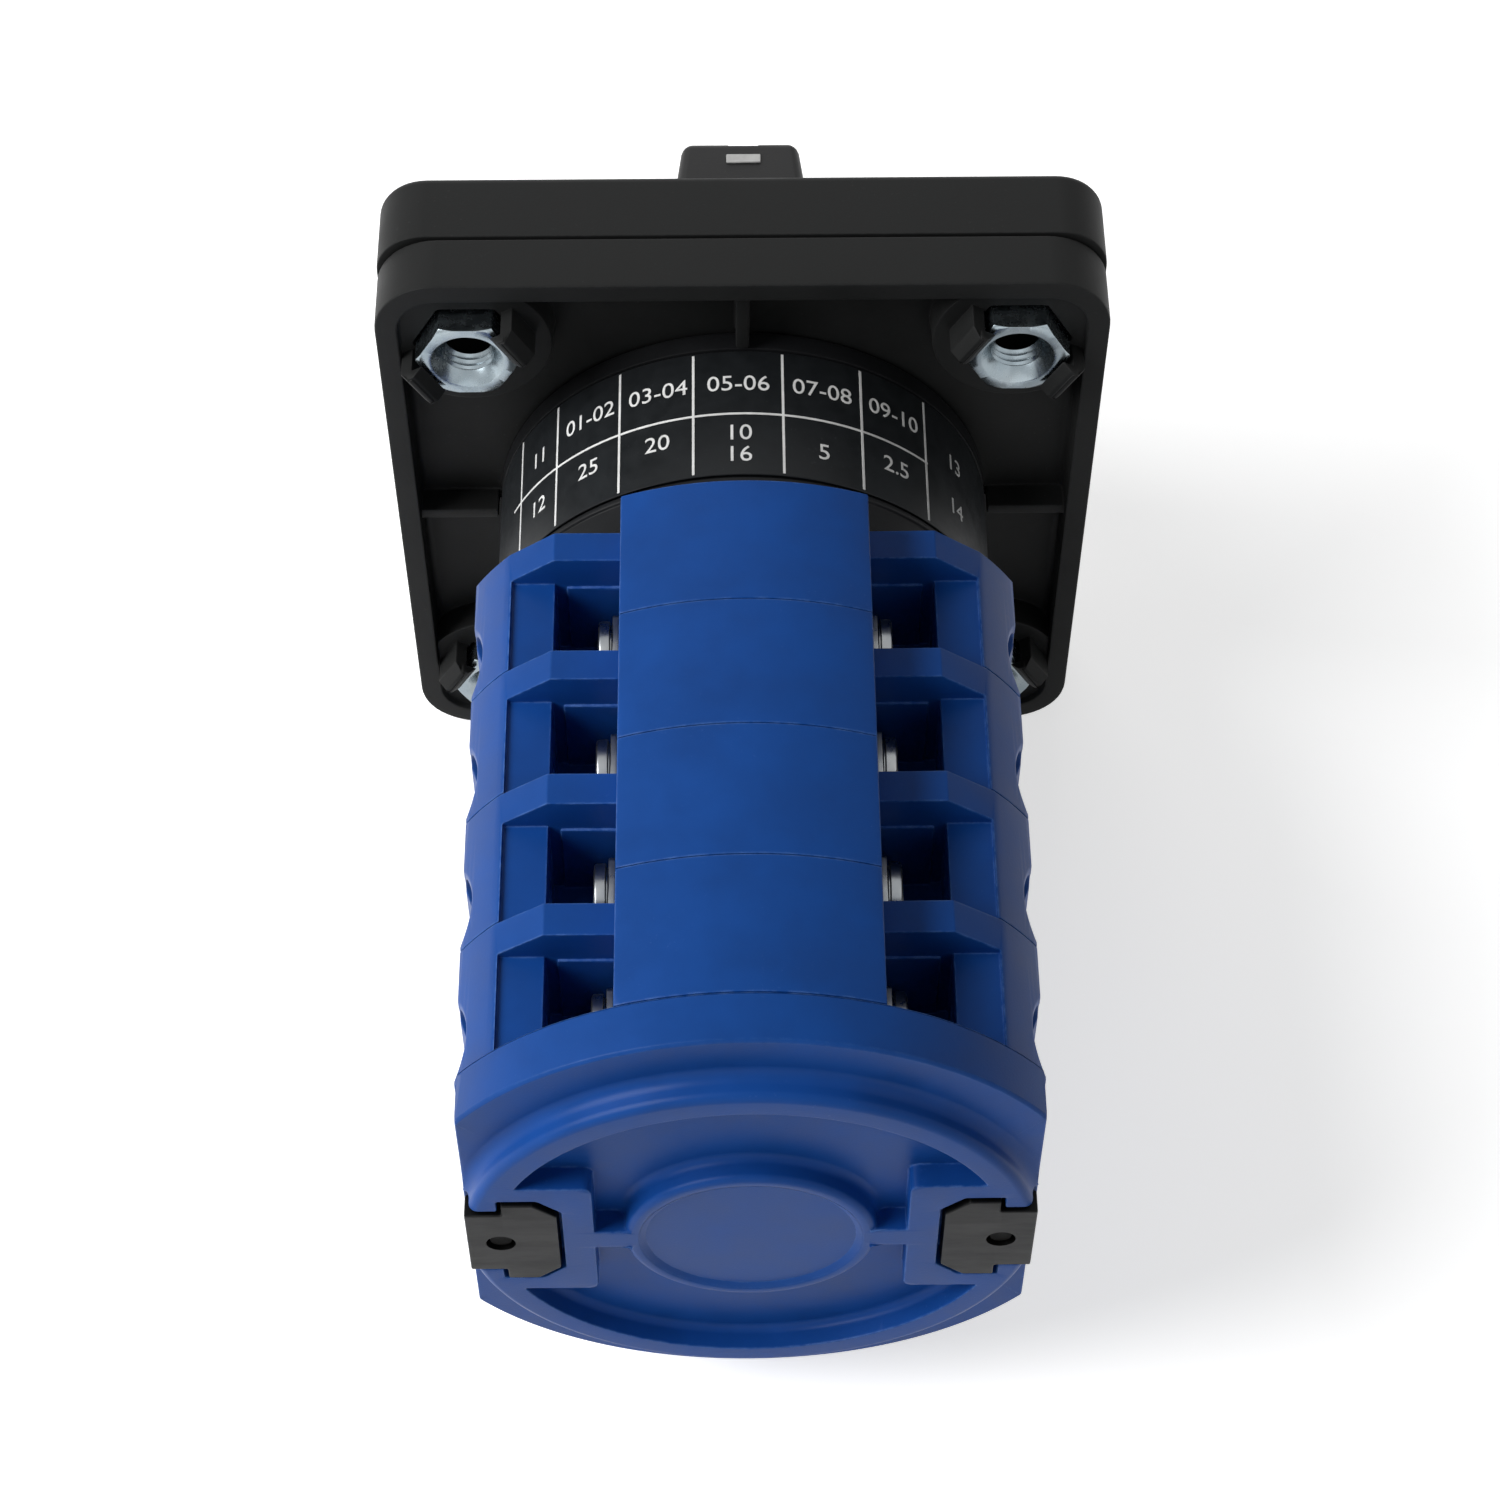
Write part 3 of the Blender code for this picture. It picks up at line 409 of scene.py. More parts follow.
# a white background that lights the switch only a little
def setWorld():
    world = bpy.data.worlds.new("studio")
    bpy.context.scene.world = world
    world.use_nodes = True
    tree = world.node_tree
    tree.nodes.clear()
    seen = newNode(tree, "Background", {"Color": white, "Strength": worldPlan["seen"]})
    soft = newNode(tree, "Background", {"Color": white, "Strength": worldPlan["ambient"]})
    mix = newNode(tree, "MixShader", {"Fac": seenDirectly(tree), 1: soft.outputs[0], 2: seen.outputs[0]})
    newNode(tree, "OutputWorld", {"Surface": mix.outputs[0]})


def setFloor():
    plan = floorPlan
    pickNothing()
    bpy.ops.mesh.primitive_plane_add(size=2 * plan["half"], location=(0, 0, plan["height"]))
    floor = bpy.context.object
    floor.name = "floor"
    paint = bpy.data.materials.new("floorPaint")
    paint.use_nodes = True
    tree = paint.node_tree
    shader = tree.nodes["Principled BSDF"]
    shader.inputs["Base Color"].default_value = (*plan["color"], 1)
    shader.inputs["Roughness"].default_value = plan["roughness"]
    shader.inputs["Specular IOR Level"].default_value = plan["specular"]
    # the glow grows away from the switch, so that the far floor runs into the white background
    place = newNode(tree, "TexCoord").outputs["Object"]
    away = newNode(tree, "VectorMath", {0: place}, operation="LENGTH").outputs["Value"]
    fade = rangeNode(tree, away, plan["near"], plan["far"], plan["glow"], plan["farGlow"])
    strength = mathNode(tree, "MULTIPLY", seenDirectly(tree), fade)
    glow = newNode(tree, "Emission", {"Color": white, "Strength": strength})
    both = newNode(tree, "AddShader", {0: shader.outputs[0], 1: glow.outputs[0]})
    tree.links.new(both.outputs[0], tree.nodes["Material Output"].inputs["Surface"])
    floor.data.materials.append(paint)


setCamera()
setLamps()
setWorld()
setFloor()
print("camera, lamps and floor set")


# effects that several finishes share, as shader groups; scales are per metre

grainPlan = {"detail": 3.0, "fineRough": 0.6, "flowScale": 160.0, "flowRough": 0.55}
edgePlan = {"samples": 4, "flatDot": 0.995, "sharpDot": 0.80, "breakLow": 0.35, "breakHigh": 0.62,
            "detail": 3.0, "rough": 0.6}
dustPlan = {"speckScale": 2600.0, "speckDetail": 2.0, "speckRough": 0.7, "speckLow": 0.66, "speckHigh": 0.78,
            "areaScale": 90.0, "areaDetail": 4.0, "areaRough": 0.6, "areaLow": 0.45, "areaHigh": 0.7}


def newGroup(name, inputs, outputs):
    group = bpy.data.node_groups.new(name, "ShaderNodeTree")
    place = group.interface.new_socket(name="Place", in_out="INPUT", socket_type="NodeSocketVector")
    place.default_value = (0, 0, 0)
    for label, value in inputs.items():
        socket = group.interface.new_socket(name=label, in_out="INPUT", socket_type="NodeSocketFloat")
        socket.default_value = value
    for label in outputs:
        group.interface.new_socket(name=label, in_out="OUTPUT", socket_type="NodeSocketFloat")
    return group, group.nodes.new("NodeGroupInput").outputs, group.nodes.new("NodeGroupOutput").inputs


# fine spark-eroded grain of a moulding tool, with slow flow marks
def makeGrainGroup():
    plan = grainPlan
    group, given, out = newGroup("mouldedGrain", {"Fineness": 5000.0, "Flow": 0.3}, ["Height", "Patches"])
    fine = noiseNode(group, given["Place"], given["Fineness"], plan["detail"], plan["fineRough"])
    slow = noiseNode(group, given["Place"], plan["flowScale"], plan["detail"], plan["flowRough"])
    raised = mathNode(group, "MULTIPLY", slow, given["Flow"])
    group.links.new(mathNode(group, "ADD", fine, raised), out["Height"])
    group.links.new(slow, out["Patches"])
    return group


# 1 on rounded edges, broken up by noise: rubbed edges, and on the mouldings also painted highlights along the
#                                         edges
def makeEdgeGroup():
    plan = edgePlan
    group, given, out = newGroup("rubbedAndHighlitEdges", {"Reach": 0.0003, "Breakup": 900.0}, ["Mask"])
    rounded = newNode(group, "Bevel", {"Radius": given["Reach"]}, samples=plan["samples"])
    normal = newNode(group, "NewGeometry").outputs["Normal"]
    turn = newNode(group, "VectorMath", {0: rounded.outputs["Normal"], 1: normal}, operation="DOT_PRODUCT")
    edge = rangeNode(group, turn.outputs["Value"], plan["flatDot"], plan["sharpDot"])
    patches = noiseNode(group, given["Place"], given["Breakup"], plan["detail"], plan["rough"])
    broken = rangeNode(group, patches, plan["breakLow"], plan["breakHigh"])
    group.links.new(mathNode(group, "MULTIPLY", edge, broken), out["Mask"])
    return group


# specks of dust, gathered in areas
def makeDustGroup():
    plan = dustPlan
    group, given, out = newGroup("dustSpecks", {"Amount": 0.5}, ["Mask"])
    fine = noiseNode(group, given["Place"], plan["speckScale"], plan["speckDetail"], plan["speckRough"])
    broad = noiseNode(group, given["Place"], plan["areaScale"], plan["areaDetail"], plan["areaRough"])
    specks = rangeNode(group, fine, plan["speckLow"], plan["speckHigh"])
    areas = rangeNode(group, broad, plan["areaLow"], plan["areaHigh"])
    both = mathNode(group, "MULTIPLY", specks, areas)
    group.links.new(mathNode(group, "MULTIPLY", both, given["Amount"]), out["Mask"])
    return group


grainGroup = makeGrainGroup()
edgeGroup = makeEdgeGroup()
dustGroup = makeDustGroup()


def placeGroup(tree, group, place, **values):
    return newNode(tree, "Group", {"Place": place, **values}, node_tree=group)


def newFinish(name, roughness, metallic=0.0, specular=0.5):
    finish = bpy.data.materials.new(name)
    finish.use_nodes = True
    tree = finish.node_tree
    shader = tree.nodes["Principled BSDF"]
    shader.inputs["Roughness"].default_value = roughness
    shader.inputs["Metallic"].default_value = metallic
    shader.inputs["Specular IOR Level"].default_value = specular
    place = newNode(tree, "TexCoord").outputs["Object"]
    return finish, tree, shader, place


def addBump(tree, shader, height, strength, distance):
    bump = newNode(tree, "Bump", {"Strength": strength, "Distance": distance, "Height": height})
    tree.links.new(bump.outputs["Normal"], shader.inputs["Normal"])


# a color made stronger or weaker, then lifted
def shaded(color, factor, lift=0.0):
    return tuple(min(1, c * factor + lift) for c in color)


streakRough = 0.65  # roughness of the noise in drawn metal and rubbed film


# noise drawn out into streaks
def streakNoise(tree, place, streak, scale, detail):
    drawn = newNode(tree, "Mapping", {"Scale": streak, "Vector": place}).outputs["Vector"]
    return noiseNode(tree, drawn, scale, detail, streakRough)


mouldingPlan = {"flow": 0.35, "reach": 0.00028, "breakup": 1100.0, "patchLow": 0.3, "patchHigh": 0.7,
                "darker": 0.90, "lighter": 1.10, "dusty": 2, "dustLift": 0.12, "smoother": 0.05,
                "rougher": 0.06, "dustRough": 0.3, "grainDepth": 0.00006}
metalPlan = {"reach": 0.0002, "breakup": 1500.0, "streakScale": 900.0, "streakDetail": 4.0,
             "cloudScale": 260.0, "cloudDetail": 3.0, "cloudRough": 0.6, "cloudLow": 0.35, "cloudHigh": 0.65,
             "rubbed": 1.25, "rubbedLift": 0.02, "low": 0.3, "high": 0.7, "smoother": 0.05, "rougher": 0.07,
             "streakDepth": 0.00003}
filmPlan = {"rubScale": 700.0, "rubDetail": 5.0, "dust": 0.3, "low": 0.3, "high": 0.7, "darker": 0.86,
            "lighter": 1.12, "dusty": 1.6, "dustLift": 0.1, "smoother": 0.05, "rougher": 0.08,
            "bump": 0.06, "rubDepth": 0.00003}


# moulded plastic: a little darker and lighter in patches, paler on edges as rubbed wear and as painted edge
# highlights, finely grained
def mouldedFinish(name, color, edgeColor, roughness, fineness=5200.0, edgeAmount=0.5, dust=0.25, bump=0.18,
                  specular=0.5):
    plan = mouldingPlan
    finish, tree, shader, place = newFinish(name, roughness, specular=specular)
    grain = placeGroup(tree, grainGroup, place, Fineness=fineness, Flow=plan["flow"])
    edges = placeGroup(tree, edgeGroup, place, Reach=plan["reach"], Breakup=plan["breakup"])
    specks = placeGroup(tree, dustGroup, place, Amount=dust)
    patches = grain.outputs["Patches"]
    tone = rangeNode(tree, patches, plan["patchLow"], plan["patchHigh"])
    base = mixColor(tree, tone, shaded(color, plan["darker"]), shaded(color, plan["lighter"]))
    # paler edges: rubbed wear, and a painted highlight along the edges
    wornAndHighlitEdges = mixColor(tree, mathNode(tree, "MULTIPLY", edges.outputs["Mask"], edgeAmount), base, edgeColor)
    dusty = mixColor(tree, specks.outputs["Mask"], wornAndHighlitEdges, shaded(color, plan["dusty"], plan["dustLift"]))
    tree.links.new(dusty, shader.inputs["Base Color"])
    rough = rangeNode(tree, patches, plan["patchLow"], plan["patchHigh"], roughness - plan["smoother"],
                      roughness + plan["rougher"])
    dull = mathNode(tree, "MULTIPLY", specks.outputs["Mask"], plan["dustRough"])
    tree.links.new(mathNode(tree, "ADD", rough, dull), shader.inputs["Roughness"])
    addBump(tree, shader, grain.outputs["Height"], bump, plan["grainDepth"])
    return finish


# plated or bare metal: drawn streaks, cloudy tint and brighter rubbed edges
def metalFinish(name, color, tint, roughness, streak=(1, 1, 1), bump=0.12, edgeAmount=0.4):
    plan = metalPlan
    finish, tree, shader, place = newFinish(name, roughness, metallic=1.0)
    drawn = streakNoise(tree, place, streak, plan["streakScale"], plan["streakDetail"])
    cloudy = noiseNode(tree, place, plan["cloudScale"], plan["cloudDetail"], plan["cloudRough"])
    edges = placeGroup(tree, edgeGroup, place, Reach=plan["reach"], Breakup=plan["breakup"])
    base = mixColor(tree, rangeNode(tree, cloudy, plan["cloudLow"], plan["cloudHigh"]), color, tint)
    rubbed = mathNode(tree, "MULTIPLY", edges.outputs["Mask"], edgeAmount)
    bright = mixColor(tree, rubbed, base, shaded(color, plan["rubbed"], plan["rubbedLift"]))
    tree.links.new(bright, shader.inputs["Base Color"])
    rough = rangeNode(tree, drawn, plan["low"], plan["high"], roughness - plan["smoother"],
                      roughness + plan["rougher"])
    tree.links.new(rough, shader.inputs["Roughness"])
    addBump(tree, shader, drawn, bump, plan["streakDepth"])
    return finish


# thin printed film, smooth with a few rubs
def filmFinish(name, color, roughness, metallic=0.0, streak=(1, 1, 1), specular=0.5):
    plan = filmPlan
    finish, tree, shader, place = newFinish(name, roughness, metallic=metallic, specular=specular)
    rubs = streakNoise(tree, place, streak, plan["rubScale"], plan["rubDetail"])
    specks = placeGroup(tree, dustGroup, place, Amount=plan["dust"])
    tone = rangeNode(tree, rubs, plan["low"], plan["high"])
    base = mixColor(tree, tone, shaded(color, plan["darker"]), shaded(color, plan["lighter"]))
    dusty = mixColor(tree, specks.outputs["Mask"], base, shaded(color, plan["dusty"], plan["dustLift"]))
    tree.links.new(dusty, shader.inputs["Base Color"])
    rough = rangeNode(tree, rubs, plan["low"], plan["high"], roughness - plan["smoother"],
                      roughness + plan["rougher"])
    tree.links.new(rough, shader.inputs["Roughness"])
    addBump(tree, shader, rubs, plan["bump"], plan["rubDepth"])
    return finish


# the blue moulding's pale edge colour, strongly mixed in, is mostly a painted highlight along its edges
blueMoulding = mouldedFinish("blueMoulding", (0.0065, 0.058, 0.262), (0.09, 0.20, 0.50), 0.38, edgeAmount=0.9,
                             dust=0.15, specular=0.12)
blackMoulding = mouldedFinish("blackMoulding", (0.0135, 0.014, 0.014), (0.045, 0.046, 0.047), 0.52,
                              edgeAmount=0.35, dust=0.15, specular=0.10)
handleMoulding = mouldedFinish("handleMoulding", (0.013, 0.013, 0.0135), (0.04, 0.04, 0.041), 0.44,
                               fineness=4200.0, edgeAmount=0.3, dust=0.15, specular=0.2)
housingMoulding = mouldedFinish("housingMoulding", (0.009, 0.0095, 0.0105), (0.03, 0.03, 0.032), 0.48,
                                edgeAmount=0.3, dust=0.15, specular=0.14)
naturalMoulding = mouldedFinish("naturalMoulding", (0.68, 0.66, 0.60), (0.75, 0.74, 0.70), 0.45,
                                fineness=3500.0, edgeAmount=0.2, dust=0.1, bump=0.1)
zincPlate = metalFinish("zincPlate", (0.30, 0.345, 0.37), (0.24, 0.29, 0.32), 0.25, bump=0.03, edgeAmount=0.1)
terminalPlate = metalFinish("terminalPlate", (0.38, 0.39, 0.39), (0.28, 0.30, 0.32), 0.30, streak=(1, 1, 0.2))
blackenedSheet = metalFinish("blackenedSheet", (0.012, 0.0123, 0.012), (0.009, 0.0093, 0.0098), 0.42,
                             streak=(0.2, 1, 1), edgeAmount=0.25)
# tie rods near black and without rubbed edges: painted shade, so that their ends in the cap read as dark holes
holeShadeRod = metalFinish("holeShadeRod", (0.006, 0.006, 0.006), (0.004, 0.004, 0.004), 0.7, edgeAmount=0.0)
springWire = metalFinish("springWire", (0.55, 0.56, 0.58), (0.45, 0.47, 0.50), 0.28)
dialSheet = filmFinish("dialSheet", (0.60, 0.61, 0.62), 0.34, metallic=0.85, streak=(0.06, 1, 1.6))
labelFilm = filmFinish("labelFilm", (0.010, 0.0115, 0.013), 0.40, specular=0.2)
whiteInk = filmFinish("whiteInk", (0.80, 0.80, 0.79), 0.5)
pointerInk = filmFinish("pointerInk", (0.50, 0.50, 0.49), 0.5)
blackInk = filmFinish("blackInk", (0.02, 0.02, 0.021), 0.5)
print("finishes mixed")


# front plate and dial; all sizes from here on are in millimetres

bezelPlan = {"half": 32.0, "corner": 4.4, "front": -7.5, "rear": -0.15, "edge": 1.0, "dialHalf": 28.3,
             "dialCorner": 3.3, "dialFloor": -6.4, "bore": 9.0, "lip": 0.15}
dialPlan = {"half": 28.0, "corner": 3.0, "front": -7.5, "rear": -6.7, "bore": 9.0, "edge": 0.12, "ink": 0.03,
            "marks": {"1": -60, "0": 0, "2": 60}, "markStart": 20.0, "markEnd": 22.2, "markWidth": 0.8,
            "digitPlace": 24.9, "digitHeight": 4.0, "digitLift": 0.005, "borderHalf": 26.9,
            "borderWidth": 0.25, "borderCorner": 2.4, "borderInnerCorner": 2.2}
fontSize = 1.38  # a font's size for digits one unit high


def makeBezel():
    plan = bezelPlan
    bezel = roundedPlate("bezelBlank", plan["half"], plan["corner"], plan["front"], plan["rear"], 12)
    roundPicked(bezel, before("y", plan["front"]), plan["edge"], 5)
    recess = roundedPlate("recess", plan["dialHalf"], plan["dialCorner"], plan["front"] - over,
                          plan["dialFloor"], 8)
    cutAway(bezel, recess, bore("bore", plan["bore"], plan["dialFloor"] - over, over, 64))
    softenEdges(bezel, plan["lip"], 2)
    finishPiece(bezel, "front_plate", blackMoulding, ["bezel"])


def wordShape(words, height):
    pickNothing()
    bpy.ops.object.text_add(location=(0, 0, 0))
    item = bpy.context.object
    item.data.body = words
    item.data.size = height * fontSize
    item.data.align_x = "CENTER"
    item.data.align_y = "CENTER"
    item.data.resolution_u = 4
    bpy.ops.object.convert(target="MESH")
    return item


def makeDial():
    plan = dialPlan
    front, halfMark = plan["front"], plan["markWidth"] / 2
    dial = roundedPlate("dialBlank", plan["half"], plan["corner"], front, plan["rear"], 8)
    cutAway(dial, bore("bore", plan["bore"], front - over, plan["rear"] + over, 64))
    softenEdges(dial, plan["edge"], 2)
    finishPiece(dial, "dial_sheet", dialSheet, ["dial_plate"])
    inked = []
    top = front - plan["ink"]
    for words, degrees in plan["marks"].items():
        angle = math.radians(degrees)
        mark = block("mark", (-halfMark, top, plan["markStart"]), (halfMark, front + near, plan["markEnd"]))
        mark.rotation_euler.y = angle
        applyPlace(mark)
        digit = wordShape(words, plan["digitHeight"])
        digit.rotation_euler.x = math.pi / 2
        digit.location = (plan["digitPlace"] * math.sin(angle), front - plan["digitLift"],
                          plan["digitPlace"] * math.cos(angle))
        applyPlace(digit)
        useModifier(digit, "SOLIDIFY", thickness=plan["ink"], offset=1)
        inked += [mark, digit]
    outer = roundedPlate("border", plan["borderHalf"], plan["borderCorner"], top, front + near, 6)
    inner = roundedPlate("borderInner", plan["borderHalf"] - plan["borderWidth"], plan["borderInnerCorner"],
                         top - over, front + over, 6)
    cutAway(outer, inner)
    ink = oneObject("dialInk", inked + [outer])
    finishPiece(ink, "dial_print", blackInk)


makeBezel()
makeDial()
print("front plate and dial made")


# handle with its pointer and screw

handlePlan = {"rear": -7.8, "skirtFront": -12.2, "skirtRearRadius": 19.0, "skirtFrontRadius": 17.5,
              "skirtEdge": 0.7, "skirtFlat": 0.5, "skirtDraft": 0.1, "hubRadius": 7.8, "hubRear": -1.8,
              "gripFront": -24.6, "gripHalfLength": 19.0, "gripCorner": 1.3, "gripRoot": 0.6, "waist": 5.2,
              "endWidth": 7.3, "draft": 0.75, "endDraft": 0.99, "gripEdge": 0.9, "screwSeat": -20.6,
              "headRoom": 3.3, "mouth": 0.35, "shankRoom": 1.9, "shankEnd": 0.3, "socketHalf": 3.7,
              "socketFront": -18.3, "edge": 0.12}
pointerPlan = {"halfWidth": 1.35, "depth": 0.5, "start": 8.0, "offset": -0.3, "gap": 0.06, "sunk": 0.02,
               "endGap": 0.55, "tipHalf": 1.6, "tipFront": 1.9, "tipRear": 2.9, "tipInner": 0.02,
               "tipOuter": 0.26, "edge": 0.08}
screwPlan = {"seat": -20.9, "headDepth": 2.4, "headRadius": 3.0, "headEdge": 0.1, "shank": 1.6, "length": 8.3,
             "dome": ((0.9, 0.04), (0.35, 0.22), (0.05, 0.62), (0, 0.95)), "threadStart": 0.4,
             "threadEnd": 0.8, "threadDepth": 0.18, "pitch": 0.5, "tipCone": 0.35, "slotHalf": 0.55,
             "slotReach": 1.7, "slotDepth": 1.3, "edge": 0.06}


# seen along the shaft: waisted in the middle and flared at both ends
def gripOutline():
    plan = handlePlan
    steps = 12
    flare = plan["endWidth"] - plan["waist"]
    side = [(plan["waist"] + flare * (i / steps) ** 2,
             i / steps * (plan["gripHalfLength"] - plan["gripCorner"])) for i in range(steps + 1)]
    radius = plan["gripCorner"]
    corner = arc(radius, 0, 90, 5, (side[-1][0] - radius, plan["gripHalfLength"] - radius))[1:]
    quarter = side[1:] + corner
    return [side[0]] + quarter + flipped(quarter, -1, 1) + [(-plan["waist"], 0)] + \
        flipped(quarter, -1, -1) + flipped(quarter, 1, -1)


def makeSkirt():
    plan = handlePlan
    e, front, rear, hub = plan["skirtEdge"], plan["skirtFront"], plan["rear"], plan["hubRadius"]
    inner, outer = plan["skirtFrontRadius"], plan["skirtRearRadius"]
    profile = [(0, front), (inner - e, front), (inner - share * e, front + share * e),
               (inner + plan["skirtDraft"], front + e), (outer, rear - plan["skirtFlat"]), (outer, rear),
               (hub, rear), (hub, plan["hubRear"]), (0, plan["hubRear"])]
    return turnedShape("handleSkirt", profile, 96)


def makeGrip():
    plan = handlePlan
    front = plan["gripFront"]
    grip = flatShape("grip", [gripOutline()], front, plan["rear"] - plan["gripRoot"])
    pickParts(grip, "VERT", lambda point: point.co.y < front + near)
    bpy.ops.transform.resize(value=(plan["draft"], 1, plan["endDraft"]), center_override=(0, front, 0))
    closeMesh()
    roundPicked(grip, before("y", front), plan["gripEdge"], 4)
    return grip


def makeHandle():
    plan, mark = handlePlan, pointerPlan
    front, head, shank = plan["gripFront"], plan["headRoom"], plan["shankRoom"]
    handle = makeSkirt()
    joinOn(handle, makeGrip())
    half = plan["socketHalf"]
    socket = block("socket", (-half, plan["socketFront"], -half), (half, 0, half))
    end = plan["socketFront"] + plan["shankEnd"]
    screwRoom = turnedShape("screwRoom", [(0, front - over), (head + plan["mouth"], front - over),
                                          (head + plan["mouth"], front), (head, front + plan["mouth"]),
                                          (head, plan["screwSeat"]), (shank, plan["screwSeat"]), (shank, end),
                                          (0, end)], 40)
    cutAway(handle, socket, screwRoom)
    low, high = mark["offset"] - mark["halfWidth"], mark["offset"] + mark["halfWidth"]
    cutAway(handle, block("groove", (low, front - over, mark["start"]),
                          (high, front + mark["depth"], plan["gripHalfLength"] + 2 * over)))
    softenEdges(handle, plan["edge"], 2, 40)
    finishPiece(handle, "handle", handleMoulding, ["knob"], body="rotor")


# white inlay that runs along the grip, and its mark on the grip's end
def makePointer():
    mark, front = pointerPlan, handlePlan["gripFront"]
    gap, middle = mark["gap"], mark["offset"]
    low, high = middle - mark["halfWidth"] + gap, middle + mark["halfWidth"] - gap
    end = handlePlan["gripHalfLength"] * handlePlan["endDraft"]
    strip = block("strip", (low, front + gap, mark["start"] + gap),
                  (high, front + mark["depth"] + mark["sunk"], end - mark["endGap"]))
    tip = block("tip", (middle - mark["tipHalf"], front + mark["tipFront"], end + mark["tipInner"]),
                (middle + mark["tipHalf"], front + mark["tipRear"], end + mark["tipOuter"]))
    for piece in (strip, tip):
        softenEdges(piece, mark["edge"], 2)
    inlay = oneObject("inlay", [strip, tip])
    finishPiece(inlay, "handle_pointer", pointerInk, body="rotor")


def makeHandleScrew():
    plan = screwPlan
    seat, radius, shank = plan["seat"], plan["headRadius"], plan["shank"]
    head, end = seat - plan["headDepth"], seat + plan["length"]
    profile = [(0, head)] + [(radius - inward, head + down) for inward, down in plan["dome"]]
    profile += [(radius, seat - plan["headEdge"]), (radius - plan["headEdge"], seat), (shank, seat)]
    y = seat + plan["threadStart"]
    while y < end - plan["threadEnd"]:
        profile += [(shank - plan["threadDepth"], y), (shank, y + plan["pitch"] / 2)]
        y += plan["pitch"]
    profile += [(shank - plan["tipCone"], end), (0, end)]
    screw = turnedShape("screwBlank", profile, 40)
    w, reach, depth = plan["slotHalf"], plan["slotReach"], plan["slotDepth"]
    cutAway(screw, block("slotA", (-w, head - over, -reach), (w, head + depth, reach)),
            block("slotB", (-reach, head - over, -w), (reach, head + depth, w)))
    softenEdges(screw, plan["edge"], 2, 50)
    finishPiece(screw, "handle_screw", zincPlate, ["knob_screw"], body="rotor")


makeHandle()
makePointer()
makeHandleScrew()
print("handle made")


# mounting frame with its captive nuts

framePlan = {"half": 32.0, "corner": 5.6, "front": 0.15, "floor": 2.15, "rear": 5.8, "wall": 2.0, "bore": 9.0,
             "floorFillet": 0.6, "bossRadius": 7.5, "bossDraft": 0.15, "bossSunk": 0.5, "bossTop": 5.0,
             "nutPlace": 24.0, "nutWidth": 8.0, "nutGap": 0.5, "boltHole": 2.7, "pocketFloor": 3.7,
             "ribWidth": 1.2, "ribSunk": 0.6, "ribTop": 4.8, "ribStart": 22.5, "ribEnd": 31.0,
             "housingRoom": 22.8, "housingLift": 0.02, "edge": 0.22}
hookPlan = {"width": 3.8, "inner": 4.6, "thick": 1.2, "catch": 7.5, "top": 8.5, "taper": (0.35, 0.9, 1),
            "barb": 1.1, "barbSlope": 0.75, "barbDrop": 0.1, "barbGap": 0.02, "sunk": 0.5, "barbSunk": 0.4,
            "edge": 0.11, "turns": (150, 330)}
nutPlan = {"front": 4.0, "rear": 7.2, "bore": 2.1, "sink": 3.2, "sinkStep": 0.15, "pitch": 0.7,
           "thread": 0.42, "threadMouth": 0.1, "threadStart": 0.02, "threadEnd": 0.2, "chamfer": 4.25,
           "chamferIn": 0.15, "chamferOut": 0.9, "chamferDepth": 0.6, "past": 0.2, "edge": 0.025}


def nutPlaces():
    p = framePlan["nutPlace"]
    return [(p, p), (-p, p), (-p, -p), (p, -p)]


def hexagon(width, center):
    return arc(width / math.sqrt(3), 0, 300, 5, center)


# a snap hook modelled at the origin with its barb towards the nut, then stood at its place
def makeHook(center, out):
    plan = hookPlan
    inner, half, catch, top = plan["inner"], plan["width"] / 2, plan["catch"], plan["top"]
    root = framePlan["floor"] - plan["sunk"]
    hook = block("hook", (inner, -half, root), (inner + plan["thick"], half, catch))
    pickParts(hook, "FACE", lambda face: face.normal.z > 1 - near)
    bpy.ops.mesh.extrude_region_move(TRANSFORM_OT_translate={"value": (0, 0, top - catch)})
    bpy.ops.transform.resize(value=plan["taper"], center_override=(inner, 0, top))
    closeMesh()
    barb = block("barb", (inner - plan["barb"], -half, catch),
                 (inner + plan["barbSunk"], half, top - plan["barbGap"]))
    pickParts(barb, "VERT", lambda point: point.co.z > catch + near and point.co.x < inner - near)
    bpy.ops.transform.translate(value=(plan["barb"] * plan["barbSlope"], 0, -plan["barbDrop"]))
    closeMesh()
    joinOn(hook, barb)
    turned = Matrix((out, out.cross((0, 1, 0)), (0, 1, 0))).transposed().to_4x4()
    hook.matrix_world = Matrix.Translation((center[0], 0, center[1])) @ turned
    applyPlace(hook)
    cleanUp(hook)
    return hook


# two hooks hold each nut, one on either side of it
def makeHooks():
    hooks = []
    for x, z in nutPlaces():
        side = 1 if x * z > 0 else -1
        for degrees in hookPlan["turns"]:
            out = Vector((side * math.cos(math.radians(degrees)), 0, math.sin(math.radians(degrees))))
            hooks.append(makeHook((x, z), out))
            softenEdges(hooks[-1], hookPlan["edge"], 2, 30)
    return hooks


def addRibs(body):
    plan = framePlan
    w, start, end = plan["ribWidth"] / 2, plan["ribStart"], plan["ribEnd"]
    front = plan["front"] + plan["ribSunk"]
    for low, high in (((start, -w), (end, w)), ((-end, -w), (-start, w)), ((-w, start), (w, end)),
                      ((-w, -end), (w, -start))):
        joinOn(body, block("rib", (low[0], front, low[1]), (high[0], plan["ribTop"], high[1])))


